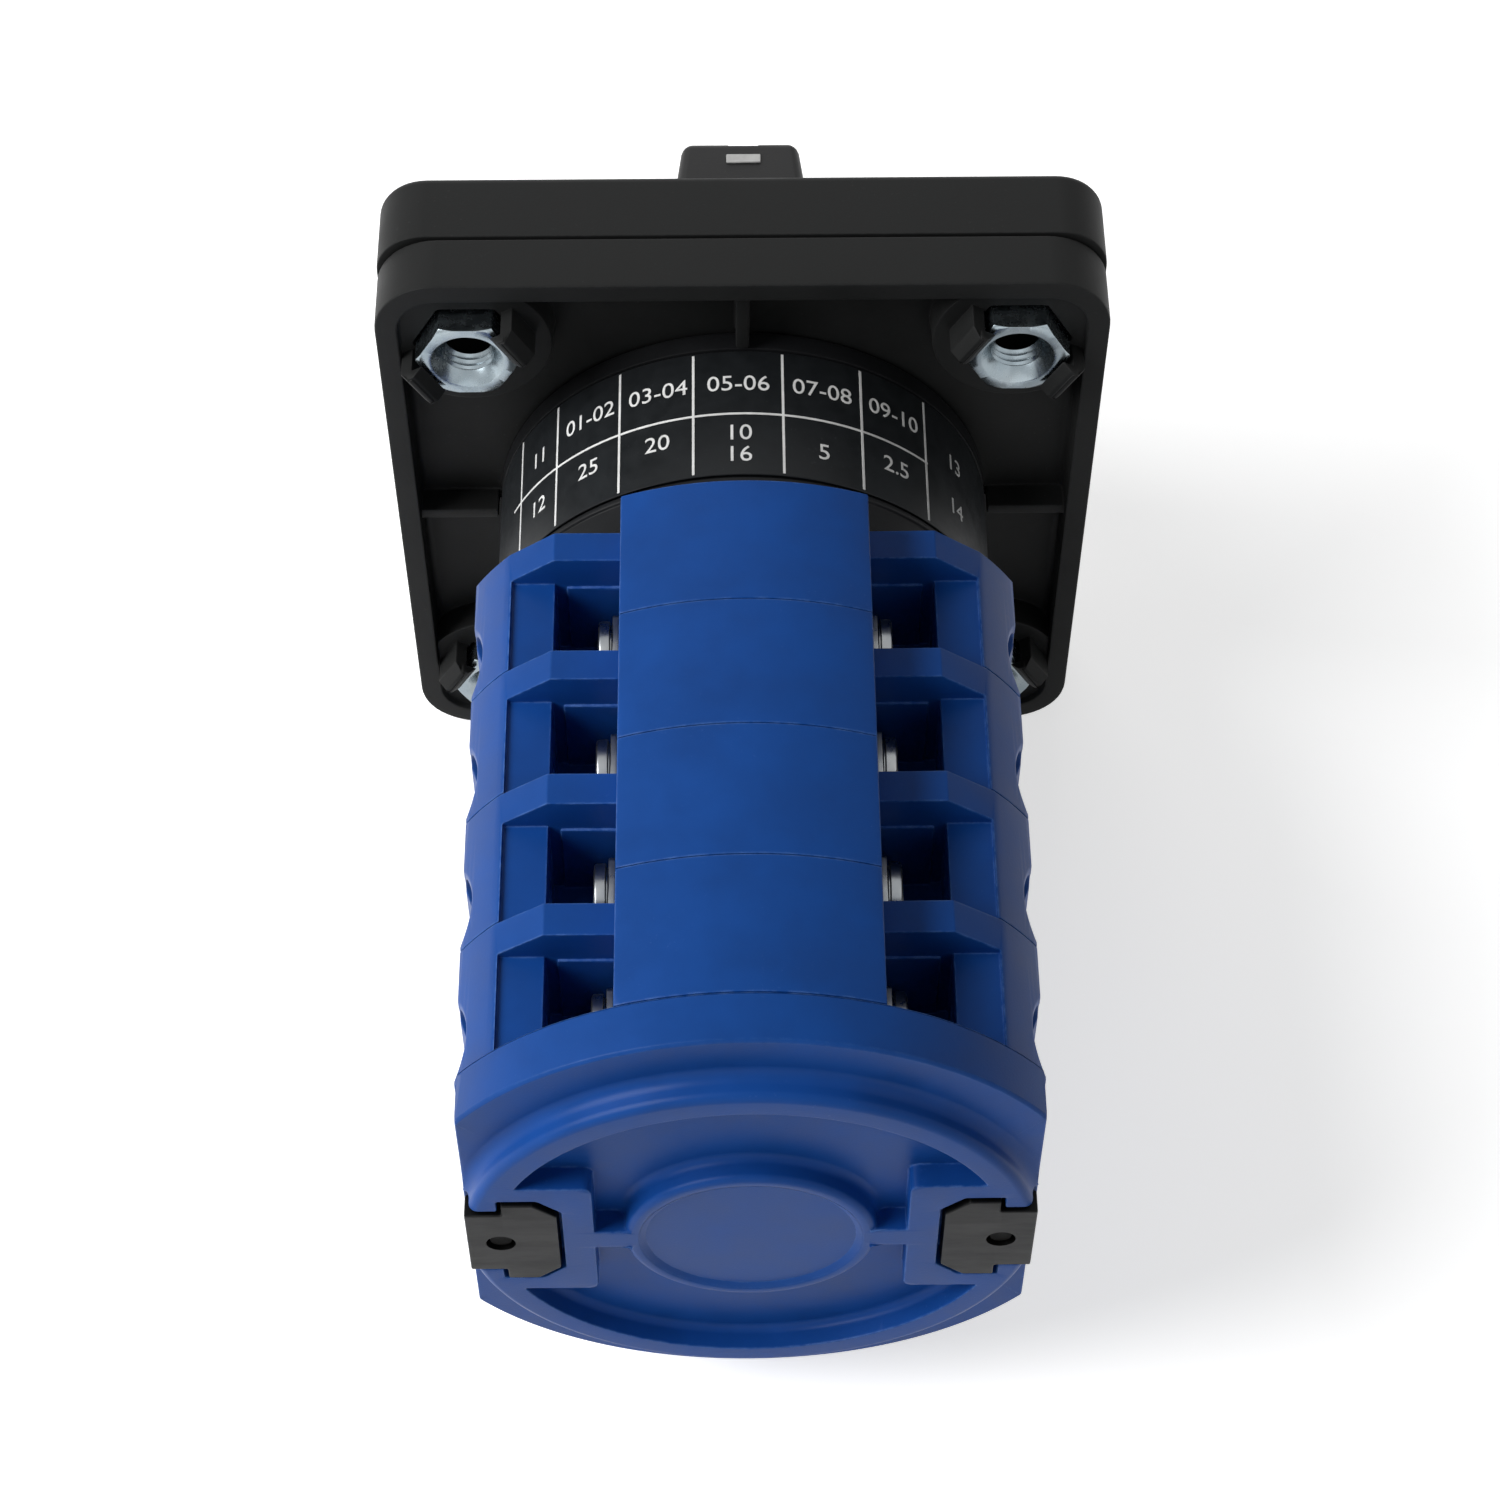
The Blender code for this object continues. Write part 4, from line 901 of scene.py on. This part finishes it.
def makeFrame():
    plan = framePlan
    front, floor, rear, pocket = plan["front"], plan["floor"], plan["rear"], plan["pocketFloor"]
    body = roundedPlate("frameBlank", plan["half"], plan["corner"], front, rear, 12)
    room = roundedPlate("room", plan["half"] - plan["wall"], plan["corner"] - plan["wall"], floor,
                        rear + over, 8)
    roundPicked(room, before("y", floor), plan["floorFillet"], 3)
    cutAway(body, room)
    for place in nutPlaces():
        joinOn(body, bore("boss", plan["bossRadius"], front + plan["bossSunk"], plan["bossTop"], 56, place,
                          plan["bossRadius"] - plan["bossDraft"]))
    addRibs(body)
    cutAway(body, bore("housingRoom", plan["housingRoom"], floor + plan["housingLift"], rear + over, 96))
    for place in nutPlaces():
        nutRoom = hexagon(plan["nutWidth"] + plan["nutGap"], place)
        cutAway(body, flatShape("pocket", [nutRoom], pocket, rear + over))
        cutAway(body, bore("boltHole", plan["boltHole"], -over, pocket + over, 32, place))
    cutAway(body, bore("bore", plan["bore"], -over, floor + over, 64))
    softenEdges(body, plan["edge"], 2, 35)
    whole = oneObject("frameWithHooks", [body] + makeHooks())
    finishPiece(whole, "rear_frame", blackMoulding, ["mounting_frame"])


def makeNuts():
    plan = nutPlan
    high, low, depth = plan["rear"], plan["front"], plan["chamferDepth"]
    flat, wide = plan["chamfer"] - plan["chamferIn"], plan["chamfer"] + plan["chamferOut"]
    nut = flatShape("nutBlank", [hexagon(framePlan["nutWidth"], (0, 0))], low, high)
    cone = [(0, low), (flat, low), (wide, low + depth), (wide, high - depth), (flat, high), (0, high)]
    combine(nut, turnedShape("chamfer", cone, 72), "INTERSECT")
    inner, outer, pitch = plan["bore"], plan["bore"] + plan["thread"], plan["pitch"]
    mouth, end, past = outer + plan["threadMouth"], high + plan["past"], plan["sink"] + plan["past"]
    profile = [(0, low - over), (mouth, low - over), (mouth, low + plan["threadStart"])]
    y = low + pitch / 2
    sinkStart = high - (plan["sink"] - inner)
    while y < sinkStart - plan["threadEnd"]:
        profile += [(inner, y), (outer, y + pitch / 2)]
        y += pitch
    profile += [(inner + plan["sinkStep"], sinkStart), (plan["sink"], high), (past, end), (0, end)]
    cutAway(nut, turnedShape("threadTool", profile, 56))
    cleanUp(nut, 0)
    softenEdges(nut, plan["edge"], 1, 35)
    for number, (x, z) in enumerate(nutPlaces(), 1):
        twin = copyOf(nut, f"nut{number}", (x, 0, z))
        finishPiece(twin, f"plate_nut_{number}", zincPlate, [f"corner_nut_{number}"])
    bpy.data.objects.remove(nut)


makeFrame()
makeNuts()
print("mounting frame and nuts made")


# click housing and its label

housingPlan = {"front": 2.45, "rear": 23.6, "radius": 22.5, "cavity": 17.0, "wall": 5.15, "bore": 5.4,
               "grooveFront": 4.5, "grooveRear": 19.1, "groove": 22.0, "bandStart": 0.5, "bandSlope": 0.12,
               "bandDepth": 0.25, "bandEnd": 1.2, "bandBack": 1.05, "edge": 0.35, "rodPlace": 20.2,
               "rodRoom": 1.5, "rodStart": 1, "rodEnd": 30, "headRoom": 2.1, "headSeat": 4.45, "cutEdge": 0.08}
labelPlan = {"front": 4.8, "rear": 18.8, "outer": 22.5, "inner": 22.3, "halfAngle": 105, "edge": 0.05,
             "ink": 0.035, "rowInk": 0.027, "textInk": 0.03, "sunk": 0.01, "ruleWidth": 0.22,
             "ruleMargin": 0.25, "rules": (19.9, 16.5, 10.84, 4.35, -3.47, -10.38, -16.16),
             "rowLine": 12.0, "rowEnds": (20.6, -16.3), "rowSteps": 48, "textHeight": 1.75}
# (x across, y along, words): plain contact numbers
labelWords = [(13.6, 8.6, "01-02"), (7.5, 8.6, "03-04"), (0.4, 8.6, "05-06"), (-7.0, 8.6, "07-08"),
              (-13.4, 8.6, "09-10"), (7.5, 14.4, "20"), (13.6, 14.4, "25"), (0.4, 14.2, "10"),
              (0.4, 16.6, "16"), (-7.0, 15.6, "5"), (-13.4, 14.6, "2.5"), (18.2, 9.2, "11"),
              (18.2, 14.8, "12"), (-18.9, 9.6, "13"), (-18.9, 14.6, "14")]


def makeHousing():
    plan = housingPlan
    e, r, front, rear = plan["edge"], plan["radius"], plan["front"], plan["rear"]
    groove, grooveFront, grooveRear = plan["groove"], plan["grooveFront"], plan["grooveRear"]
    band, start = r - plan["bandDepth"], grooveRear + plan["bandStart"]
    profile = [(plan["bore"], front), (r - e, front), (r - share * e, front + share * e), (r, front + e),
               (r, grooveFront), (groove, grooveFront), (groove, grooveRear), (r, grooveRear), (r, start),
               (band, start + plan["bandSlope"]), (band, rear - plan["bandEnd"]),
               (r, rear - plan["bandBack"]), (r, rear - e), (r - share * e, rear - share * e), (r - e, rear),
               (plan["cavity"], rear), (plan["cavity"], plan["wall"]), (plan["bore"], plan["wall"])]
    shell = turnedShape("housingBlank", profile, 128)
    head, seat, room = plan["headRoom"], plan["headSeat"], plan["rodRoom"]
    first, last = plan["rodStart"], plan["rodEnd"]
    hole = [(0, first), (head, first), (head, seat), (room, seat), (room, last), (0, last)]
    for x in (-plan["rodPlace"], plan["rodPlace"]):
        cutAway(shell, turnedShape("rodHole", hole, 28, (x, 0)))
    softenEdges(shell, plan["cutEdge"], 2, 40)
    finishPiece(shell, "detent_housing", housingMoulding, ["click_housing"])


def makeLabel():
    plan = labelPlan
    low, high = 90 - plan["halfAngle"], 90 + plan["halfAngle"]
    band = arc(plan["outer"], low, high, 120) + arc(plan["inner"], high, low, 120)
    film = flatShape("film", [band], plan["front"], plan["rear"])
    softenEdges(film, plan["edge"], 1, 50)
    finishPiece(film, "table_label", labelFilm, ["rating_label"])


# flat pieces of print, x along the text and z away from it, are bent round the housing afterwards
def makeLabelPrint():
    plan = labelPlan
    r, half, sunk = plan["outer"], plan["ruleWidth"] / 2, plan["sunk"]
    front, rear = plan["front"] + plan["ruleMargin"], plan["rear"] - plan["ruleMargin"]
    ink = []
    for x in plan["rules"]:
        s = r * math.asin(x / r)
        ink.append(block("rule", (s - half, front, -sunk), (s + half, rear, plan["ink"])))
    left, right = [r * math.asin(x / r) for x in plan["rowEnds"]]
    stops = [right + (left - right) * i / plan["rowSteps"] for i in range(plan["rowSteps"] + 1)]
    low, high = plan["rowLine"] - half, plan["rowLine"] + half
    for a, b in zip(stops, stops[1:]):
        ink.append(block("row", (a, low, -sunk), (b, high, plan["rowInk"])))
    for x, y, words in labelWords:
        item = wordShape(words, plan["textHeight"])
        item.data.transform(Matrix.Rotation(math.pi, 4, "Z"))
        item.location = (r * math.asin(x / r), y, plan["ink"] - plan["textInk"])
        applyPlace(item)
        useModifier(item, "SOLIDIFY", thickness=plan["textInk"], offset=1)
        ink.append(item)
    printed = oneObject("print", ink)
    for point in printed.data.vertices:
        angle = point.co.x / r
        out = r + point.co.z
        point.co = (out * math.sin(angle), point.co.y, out * math.cos(angle))
    finishPiece(printed, "table_print", whiteInk, smooth=10)


makeHousing()
makeLabel()
makeLabelPrint()
print("click housing and label made")


# contact decks

deckPlan = {"first": 23.8, "pitch": 12.44, "count": 4, "seam": 0.04, "floor": 3.0, "radius": 27.0,
            "halfWidth": 23.3, "columnRadius": 27.8, "columnHalf": 10.4, "ribHeight": 20.9, "ribDraft": 0.03,
            "ribCorner": 16.2, "slopeEnd": 20.2, "windowOuter": 19.9, "shelf": 17.68, "ledge": 16.9,
            "chamberInner": 9.3, "chamberBottom": 8.8, "step": 0.22, "stepOuter": 15.2, "stepTop": 17.3,
            "stepIn": 0.2, "stepDown": 0.4, "stepSunk": 0.5, "scoopLength": 7.2, "scoopDepth": 0.9,
            "scoopGap": 0.2, "scoopBack": 0.35, "scoopReach": 30, "accessRadius": 2.25, "accessHeight": 11.5,
            "accessSunk": 0.5, "accessEnd": 25, "middle": 6.8, "camRoom": 11.8, "shaftBore": 5.4,
            "rodPlace": 20.2, "rodRoom": 1.5, "bridgeHalf": 8.8, "bridgeLow": 14.7, "bridgeHigh": 22.3,
            "stripHigh": 16.3, "stripGap": 0.3, "plungerHalf": 2.8, "springSeat": 26.0, "camRadius": 9.5,
            "edge": 0.12}


def deckOutline():
    plan = deckPlan
    r = plan["radius"]
    slope, side = angleAt(r, plan["slopeEnd"]), angleAt(r, plan["halfWidth"])
    top = angleAt(plan["columnRadius"], plan["columnHalf"])
    quarter = arc(r, side, slope, 8)
    quarter += [(plan["ribCorner"], plan["ribHeight"]),
                (plan["columnHalf"], plan["ribHeight"] - plan["ribDraft"])]
    quarter += arc(plan["columnRadius"], top, 90, 16)[:-1]
    return fourFold(quarter)


# wire window and screw chamber of one quarter, seen along the shaft
def windowOutline():
    plan = deckPlan
    inner, rib, column = plan["chamberInner"], plan["ribCorner"], plan["columnHalf"]
    outer, top = plan["windowOuter"], plan["columnRadius"] + over
    low, shelf, ledge = plan["chamberBottom"], plan["shelf"], plan["ledge"]
    return [(inner, low), (rib, low), (rib, shelf), (outer, shelf), (outer, top), (column, top),
            (column, ledge), (inner, ledge)]


# the low step on the chamber's floor
def stepOutline():
    plan = deckPlan
    inner, low = plan["chamberInner"] - plan["stepIn"], plan["chamberBottom"] - plan["stepDown"]
    outer, top = plan["stepOuter"], plan["stepTop"]
    return [(inner, low), (outer, low), (outer, top), (inner, top)]


def twoRooms(half, low, high, front, rear):
    return [block("roomTop", (-half, front, low), (half, rear, high)),
            block("roomBottom", (-half, front, -high), (half, rear, -low))]


# one flank: the tie rod's hole, a shallow finger scoop, and the holes that lead to two terminal screws
def openFlank(deck, side, rear):
    plan = deckPlan
    length, depth, reach = plan["scoopLength"], plan["scoopDepth"], plan["scoopReach"]
    radius = (length ** 2 / 4 + depth ** 2) / (2 * depth)
    middle = plan["pitch"] - plan["scoopGap"] - plan["scoopBack"] - length / 2
    cutAway(deck, bore("rodHole", plan["rodRoom"], -over, rear, 24, (side * plan["rodPlace"], 0)))
    place = side * (plan["halfWidth"] - depth + radius)
    cutAway(deck, rod("scoop", radius, (place, middle, -reach), (place, middle, reach), 192))
    start, end = side * (plan["ribCorner"] - plan["accessSunk"]), side * plan["accessEnd"]
    for z in (-plan["accessHeight"], plan["accessHeight"]):
        cutAway(deck, rod("access", plan["accessRadius"], (start, plan["middle"], z),
                          (end, plan["middle"], z), 36))


def makeDecks():
    plan = deckPlan
    floor, step, low = plan["floor"], plan["step"], plan["bridgeLow"]
    rear = plan["pitch"] - plan["seam"]
    beyondRear = rear + over
    deck = flatShape("deckBlank", [deckOutline()], 0, rear)
    for quarter in [(sx, sz) for sx in (-1, 1) for sz in (-1, 1)]:
        cutAway(deck, flatShape("window", [flipped(windowOutline(), *quarter)], floor, beyondRear))
        joinOn(deck, flatShape("step", [flipped(stepOutline(), *quarter)], floor - plan["stepSunk"],
                               floor + step))
    stripHalf = plan["chamberInner"] + plan["stripGap"]
    for half, bottom, top, front in ((stripHalf, low, plan["stripHigh"], floor + step),
                                     (plan["bridgeHalf"], low, plan["bridgeHigh"], floor),
                                     (plan["plungerHalf"], plan["camRadius"], plan["springSeat"], floor)):
        cutAway(deck, *twoRooms(half, bottom, top, front, beyondRear))
    cutAway(deck, bore("camRoom", plan["camRoom"], floor, beyondRear, 72))
    cutAway(deck, bore("shaftBore", plan["shaftBore"], -over, beyondRear, 40))
    for side in (-1, 1):
        openFlank(deck, side, beyondRear)
    cleanUp(deck, 0)
    softenEdges(deck, plan["edge"], 2, 32)
    for number in range(1, plan["count"] + 1):
        twin = copyOf(deck, f"deck{number}", (0, plan["first"] + (number - 1) * plan["pitch"], 0))
        finishPiece(twin, f"contact_deck_{number}", blueMoulding, [f"deck_{number}"])
    bpy.data.objects.remove(deck)


makeDecks()
print("contact decks made")


# terminals

terminalPlan = {"stripInner": 4.2, "stripLow": 15.0, "stripHigh": 16.0, "legInner": 9.6, "legOuter": 10.6,
                "legLow": 9.4, "legGap": 0.3, "halfWidth": 2.3, "stripEdge": 0.1, "screwHeight": 12.2,
                "tipPlace": 6.3, "tipRadius": 1.3, "tipRise": 0.6, "tipSunk": 0.1, "tipEdge": 0.25,
                "shankGap": 0.3, "clampStart": 10.82, "clampEnd": 11.38,
                "clampHalf": 2.7, "clampCorner": 0.5, "clampEdge": 0.09, "washerStart": 11.41,
                "washerEnd": 11.6, "washerRadius": 2.75, "washerEdge": 0.06, "headStart": 11.62,
                "headEnd": 12.6, "headRadius": 3.1, "headEdge": 0.28, "shank": 1.5, "slotHalf": 0.42,
                "slotDepth": 0.6, "slotReach": 4, "crossReach": 1.9, "slotEdge": 0.05, "bend": 0.8}


# the strip that carries the contact, bent down into a leg, with the contact tip on it
def makeStrip():
    plan = terminalPlan
    w, outer, high = plan["halfWidth"], plan["legOuter"], plan["stripHigh"]
    strip = block("strip", (plan["stripInner"], -w, plan["stripLow"]), (outer, w, high))
    joinOn(strip, block("leg", (plan["legInner"], -w, plan["legLow"]), (outer, w, high - plan["legGap"])))
    cleanUp(strip)
    roundPicked(strip, lambda a, b: beyond("x", outer)(a, b) and beyond("z", high)(a, b), plan["bend"], 5)
    softenEdges(strip, plan["stripEdge"], 2)
    tipTop = high + plan["tipRise"]
    tip = rod("tip", plan["tipRadius"], (plan["tipPlace"], 0, high - plan["tipSunk"]),
              (plan["tipPlace"], 0, tipTop), 32)
    roundPicked(tip, beyond("z", tipTop), plan["tipEdge"], 3)
    return [strip, tip]


# the screw with its clamp plate and washer, lying along X
def makeClamp():
    plan = terminalPlan
    z, half, end = plan["screwHeight"], plan["clampHalf"], plan["headEnd"]
    shank = rod("shank", plan["shank"], (plan["legInner"], 0, z), (end - plan["shankGap"], 0, z), 28)
    clamp = block("clamp", (plan["clampStart"], -half, z - half), (plan["clampEnd"], half, z + half))
    roundPicked(clamp, lambda a, b: abs(a.y - b.y) < near and abs(a.z - b.z) < near, plan["clampCorner"], 3)
    softenEdges(clamp, plan["clampEdge"], 2)
    washer = rod("washer", plan["washerRadius"], (plan["washerStart"], 0, z), (plan["washerEnd"], 0, z), 40)
    softenEdges(washer, plan["washerEdge"], 1)
    head = rod("head", plan["headRadius"], (plan["headStart"], 0, z), (end, 0, z), 56)
    roundPicked(head, beyond("x", end), plan["headEdge"], 4)
    s, bottom, reach, cross = plan["slotHalf"], end - plan["slotDepth"], plan["slotReach"], plan["crossReach"]
    cutAway(head, block("slot", (bottom, -reach, z - s), (end + over, reach, z + s)))
    cutAway(head, block("cross", (bottom, -s, z - cross), (end + over, s, z + cross)))
    softenEdges(head, plan["slotEdge"], 1, 40)
    return [shank, clamp, washer, head]


def makeTerminals():
    master = oneObject("terminalMaster", makeStrip() + makeClamp())
    corners = (("right_top", (0, 0, 0)), ("left_top", (0, 0, 180)), ("left_bottom", (0, 180, 0)),
               ("right_bottom", (180, 0, 0)))
    for number in range(1, deckPlan["count"] + 1):
        y = deckPlan["first"] + (number - 1) * deckPlan["pitch"] + deckPlan["middle"]
        for corner, turn in corners:
            twin = copyOf(master, "terminal", (0, y, 0), turn)
            finishPiece(twin, f"clamp_{corner}_{number}", terminalPlate, [f"terminal_{corner}_{number}"])
    bpy.data.objects.remove(master)


makeTerminals()
print("terminals made")


# end cap and nut plates

capPlan = {"front": 73.56, "frontEdge": 0.1, "shoulder": 77.86, "rear": 80.16, "radius": 27.8,
           "halfWidth": 23.0, "plateau": 23.1, "rimEdge": 0.3, "valley": 1.1, "plateauEdge": 0.75,
           "pocketRadius": 20.6, "pocketDepth": 2.1, "disc": 10.2, "discEdge": 0.6, "discStart": 0.25,
           "discLift": 0.06, "recess": 9.0, "recessDepth": 0.35, "recessSlope": 0.5, "recessRim": 0.05,
           "recessMouth": 0.3, "recessPast": 0.5, "barHalf": 1.3, "bossInner": 12.6, "bossHalf": 8.7,
           "bossCorner": 0.7, "bossDraft": 0.02, "far": 40, "floorFillet": 0.8, "shaftBore": 5.4,
           "bearing": 3.2, "rodPlace": 20.2, "rodRoom": 1.5, "rodPast": 0.5, "plateSeat": 78.16, "edge": 0.16}
platePlan = {"inner": 15.5, "neckStart": 19.9, "half": 6.3, "neck": 4.7, "chamfer": 1.9, "neckEnd": 22.9,
             "front": 78.36, "rear": 80.36, "hole": 1.2, "room": 0.35, "edge": 0.16}


# a nut plate's outline, or with some growth that of its seat
def platePoints(grow, neckEnd):
    plan = platePlan
    inner, start = plan["inner"] - grow, plan["neckStart"] + grow
    half, neck, c = plan["half"] + grow, plan["neck"] + grow, plan["chamfer"]
    return [(inner, half - c), (inner, -half + c), (inner + c, -half), (start, -half), (start, -neck),
            (neckEnd, -neck), (neckEnd, neck), (start, neck), (start, half), (inner + c, half)]


# everything on the upper half of the cap's face that is neither bar nor boss
def pocketSector():
    plan = capPlan
    c, inner, half, far = plan["bossCorner"], plan["bossInner"], plan["bossHalf"], plan["far"]
    right = [(inner, plan["barHalf"]), (inner, half - c), (inner + share * c, half - share * c),
             (inner + c, half), (far, half + plan["bossDraft"]), (far, far)]
    return right + [(-x, z) for x, z in right[::-1]]


# the sunk ring with its filleted floor and the rounded rim of the middle disc
def pocketRing():
    plan = capPlan
    rear, sunk = plan["rear"], plan["rear"] - plan["pocketDepth"]
    disc, outer, q, f = plan["disc"], plan["pocketRadius"], plan["discEdge"], plan["floorFillet"]
    start = disc - q - plan["discStart"]
    rim = arc(q, 80, 0, 6, (disc - q, rear - q))
    inside = arc(f, 180, 270, 5, (disc + f, sunk + f))
    outside = arc(f, 270, 360, 5, (outer - f, sunk + f))
    first, last = (start, rear + plan["discLift"]), (start, rear + over)
    return [first] + rim + inside + outside + [(outer, rear + over), last]


# half profile of the cap: body, shoulder, the valley round the raised face and its rounded brow
def capProfile():
    plan = capPlan
    r, e, v, q, top = plan["radius"], plan["rimEdge"], plan["valley"], plan["plateauEdge"], plan["frontEdge"]
    front, shoulder, rear, plateau = plan["front"], plan["shoulder"], plan["rear"], plan["plateau"]
    steps = [math.radians(a) for a in (0, 18, 36, 54, 72, 90)]
    valley = [(plateau + v - v * math.cos(a), shoulder + v - v * math.sin(a)) for a in steps[::-1]]
    brow = [(plateau - q + q * math.cos(a), rear - q + q * math.sin(a)) for a in steps]
    body = [(0, front), (r - top, front), (r, front + top), (r, shoulder - e),
            (r - share * e, shoulder - share * e), (r - e, shoulder)]
    return body + valley + brow + [(0, rear)]


def makeCap():
    plan = capPlan
    front, rear, seat, flat = plan["front"], plan["rear"], plan["plateSeat"], plan["halfWidth"]
    cap = turnedShape("capBlank", capProfile(), 160)
    for side in (-1, 1):
        openMesh(cap)
        bpy.ops.mesh.bisect(plane_co=(side * flat, 0, 0), plane_no=(side, 0, 0), use_fill=True,
                            clear_outer=True)
        closeMesh()
    for turn in (1, -1):
        tool = turnedShape("pocketRing", pocketRing(), 144)
        sector = flatShape("sector", [flipped(pocketSector(), 1, turn)], front, rear + 3 * over)
        combine(tool, sector, "INTERSECT")
        cutAway(cap, tool)
    recess, floor, past = plan["recess"], rear - plan["recessDepth"], rear + plan["recessPast"]
    cutAway(cap, turnedShape("discRecess", [(0, floor), (recess - plan["recessSlope"], floor),
                                            (recess, rear - plan["recessRim"]),
                                            (recess + plan["recessMouth"], past), (0, past)], 72))
    for side in (-1, 1):
        room = [(side * x, z) for x, z in platePoints(platePlan["room"], flat + over)]
        cutAway(cap, flatShape("plateRoom", [room if side > 0 else room[::-1]], seat, rear + over))
        cutAway(cap, bore("rodHole", plan["rodRoom"], front - over, seat + plan["rodPast"], 24,
                          (side * plan["rodPlace"], 0)))
    cutAway(cap, bore("shaftBore", plan["shaftBore"], front - over, front + plan["bearing"], 48))
    cleanUp(cap, 0)
    softenEdges(cap, plan["edge"], 2, 38)
    finishPiece(cap, "rear_cap", blueMoulding, ["end_cap"], smooth=30)


def makePlates():
    plan = platePlan
    plate = flatShape("plateBlank", [platePoints(0, plan["neckEnd"])], plan["front"], plan["rear"])
    softenEdges(plate, plan["edge"], 2, 35)
    cutAway(plate, bore("tappedHole", plan["hole"], plan["front"] - over, plan["rear"] + over, 32,
                        (capPlan["rodPlace"], 0)))
    for number, turn in ((1, 0), (2, 180)):
        twin = copyOf(plate, f"plate{number}", turn=(0, turn, 0))
        finishPiece(twin, f"rod_plate_{number}", blackenedSheet, [f"nut_plate_{number}"])
    bpy.data.objects.remove(plate)


makeCap()
makePlates()
print("end cap and plates made")


# finishes for the CAD pieces that stay

# the tie rods get the near-black finish, painted shade that makes their ends read as holes
innerFinishes = {"drive_shaft": zincPlate, "detent_star": naturalMoulding, "detent_spring": springWire,
                 "cam_": naturalMoulding, "bridge_": naturalMoulding, "spring_": springWire,
                 "tie_rod": holeShadeRod}
for name, item in frame["nodes"].items():
    for start, finish in innerFinishes.items():
        if name.startswith(start):
            for slotItem in item.material_slots:
                slotItem.material = finish
            if not item.material_slots:
                item.data.materials.append(finish)
print("inner pieces finished")

bpy.context.scene.view_settings.view_transform = "Standard"
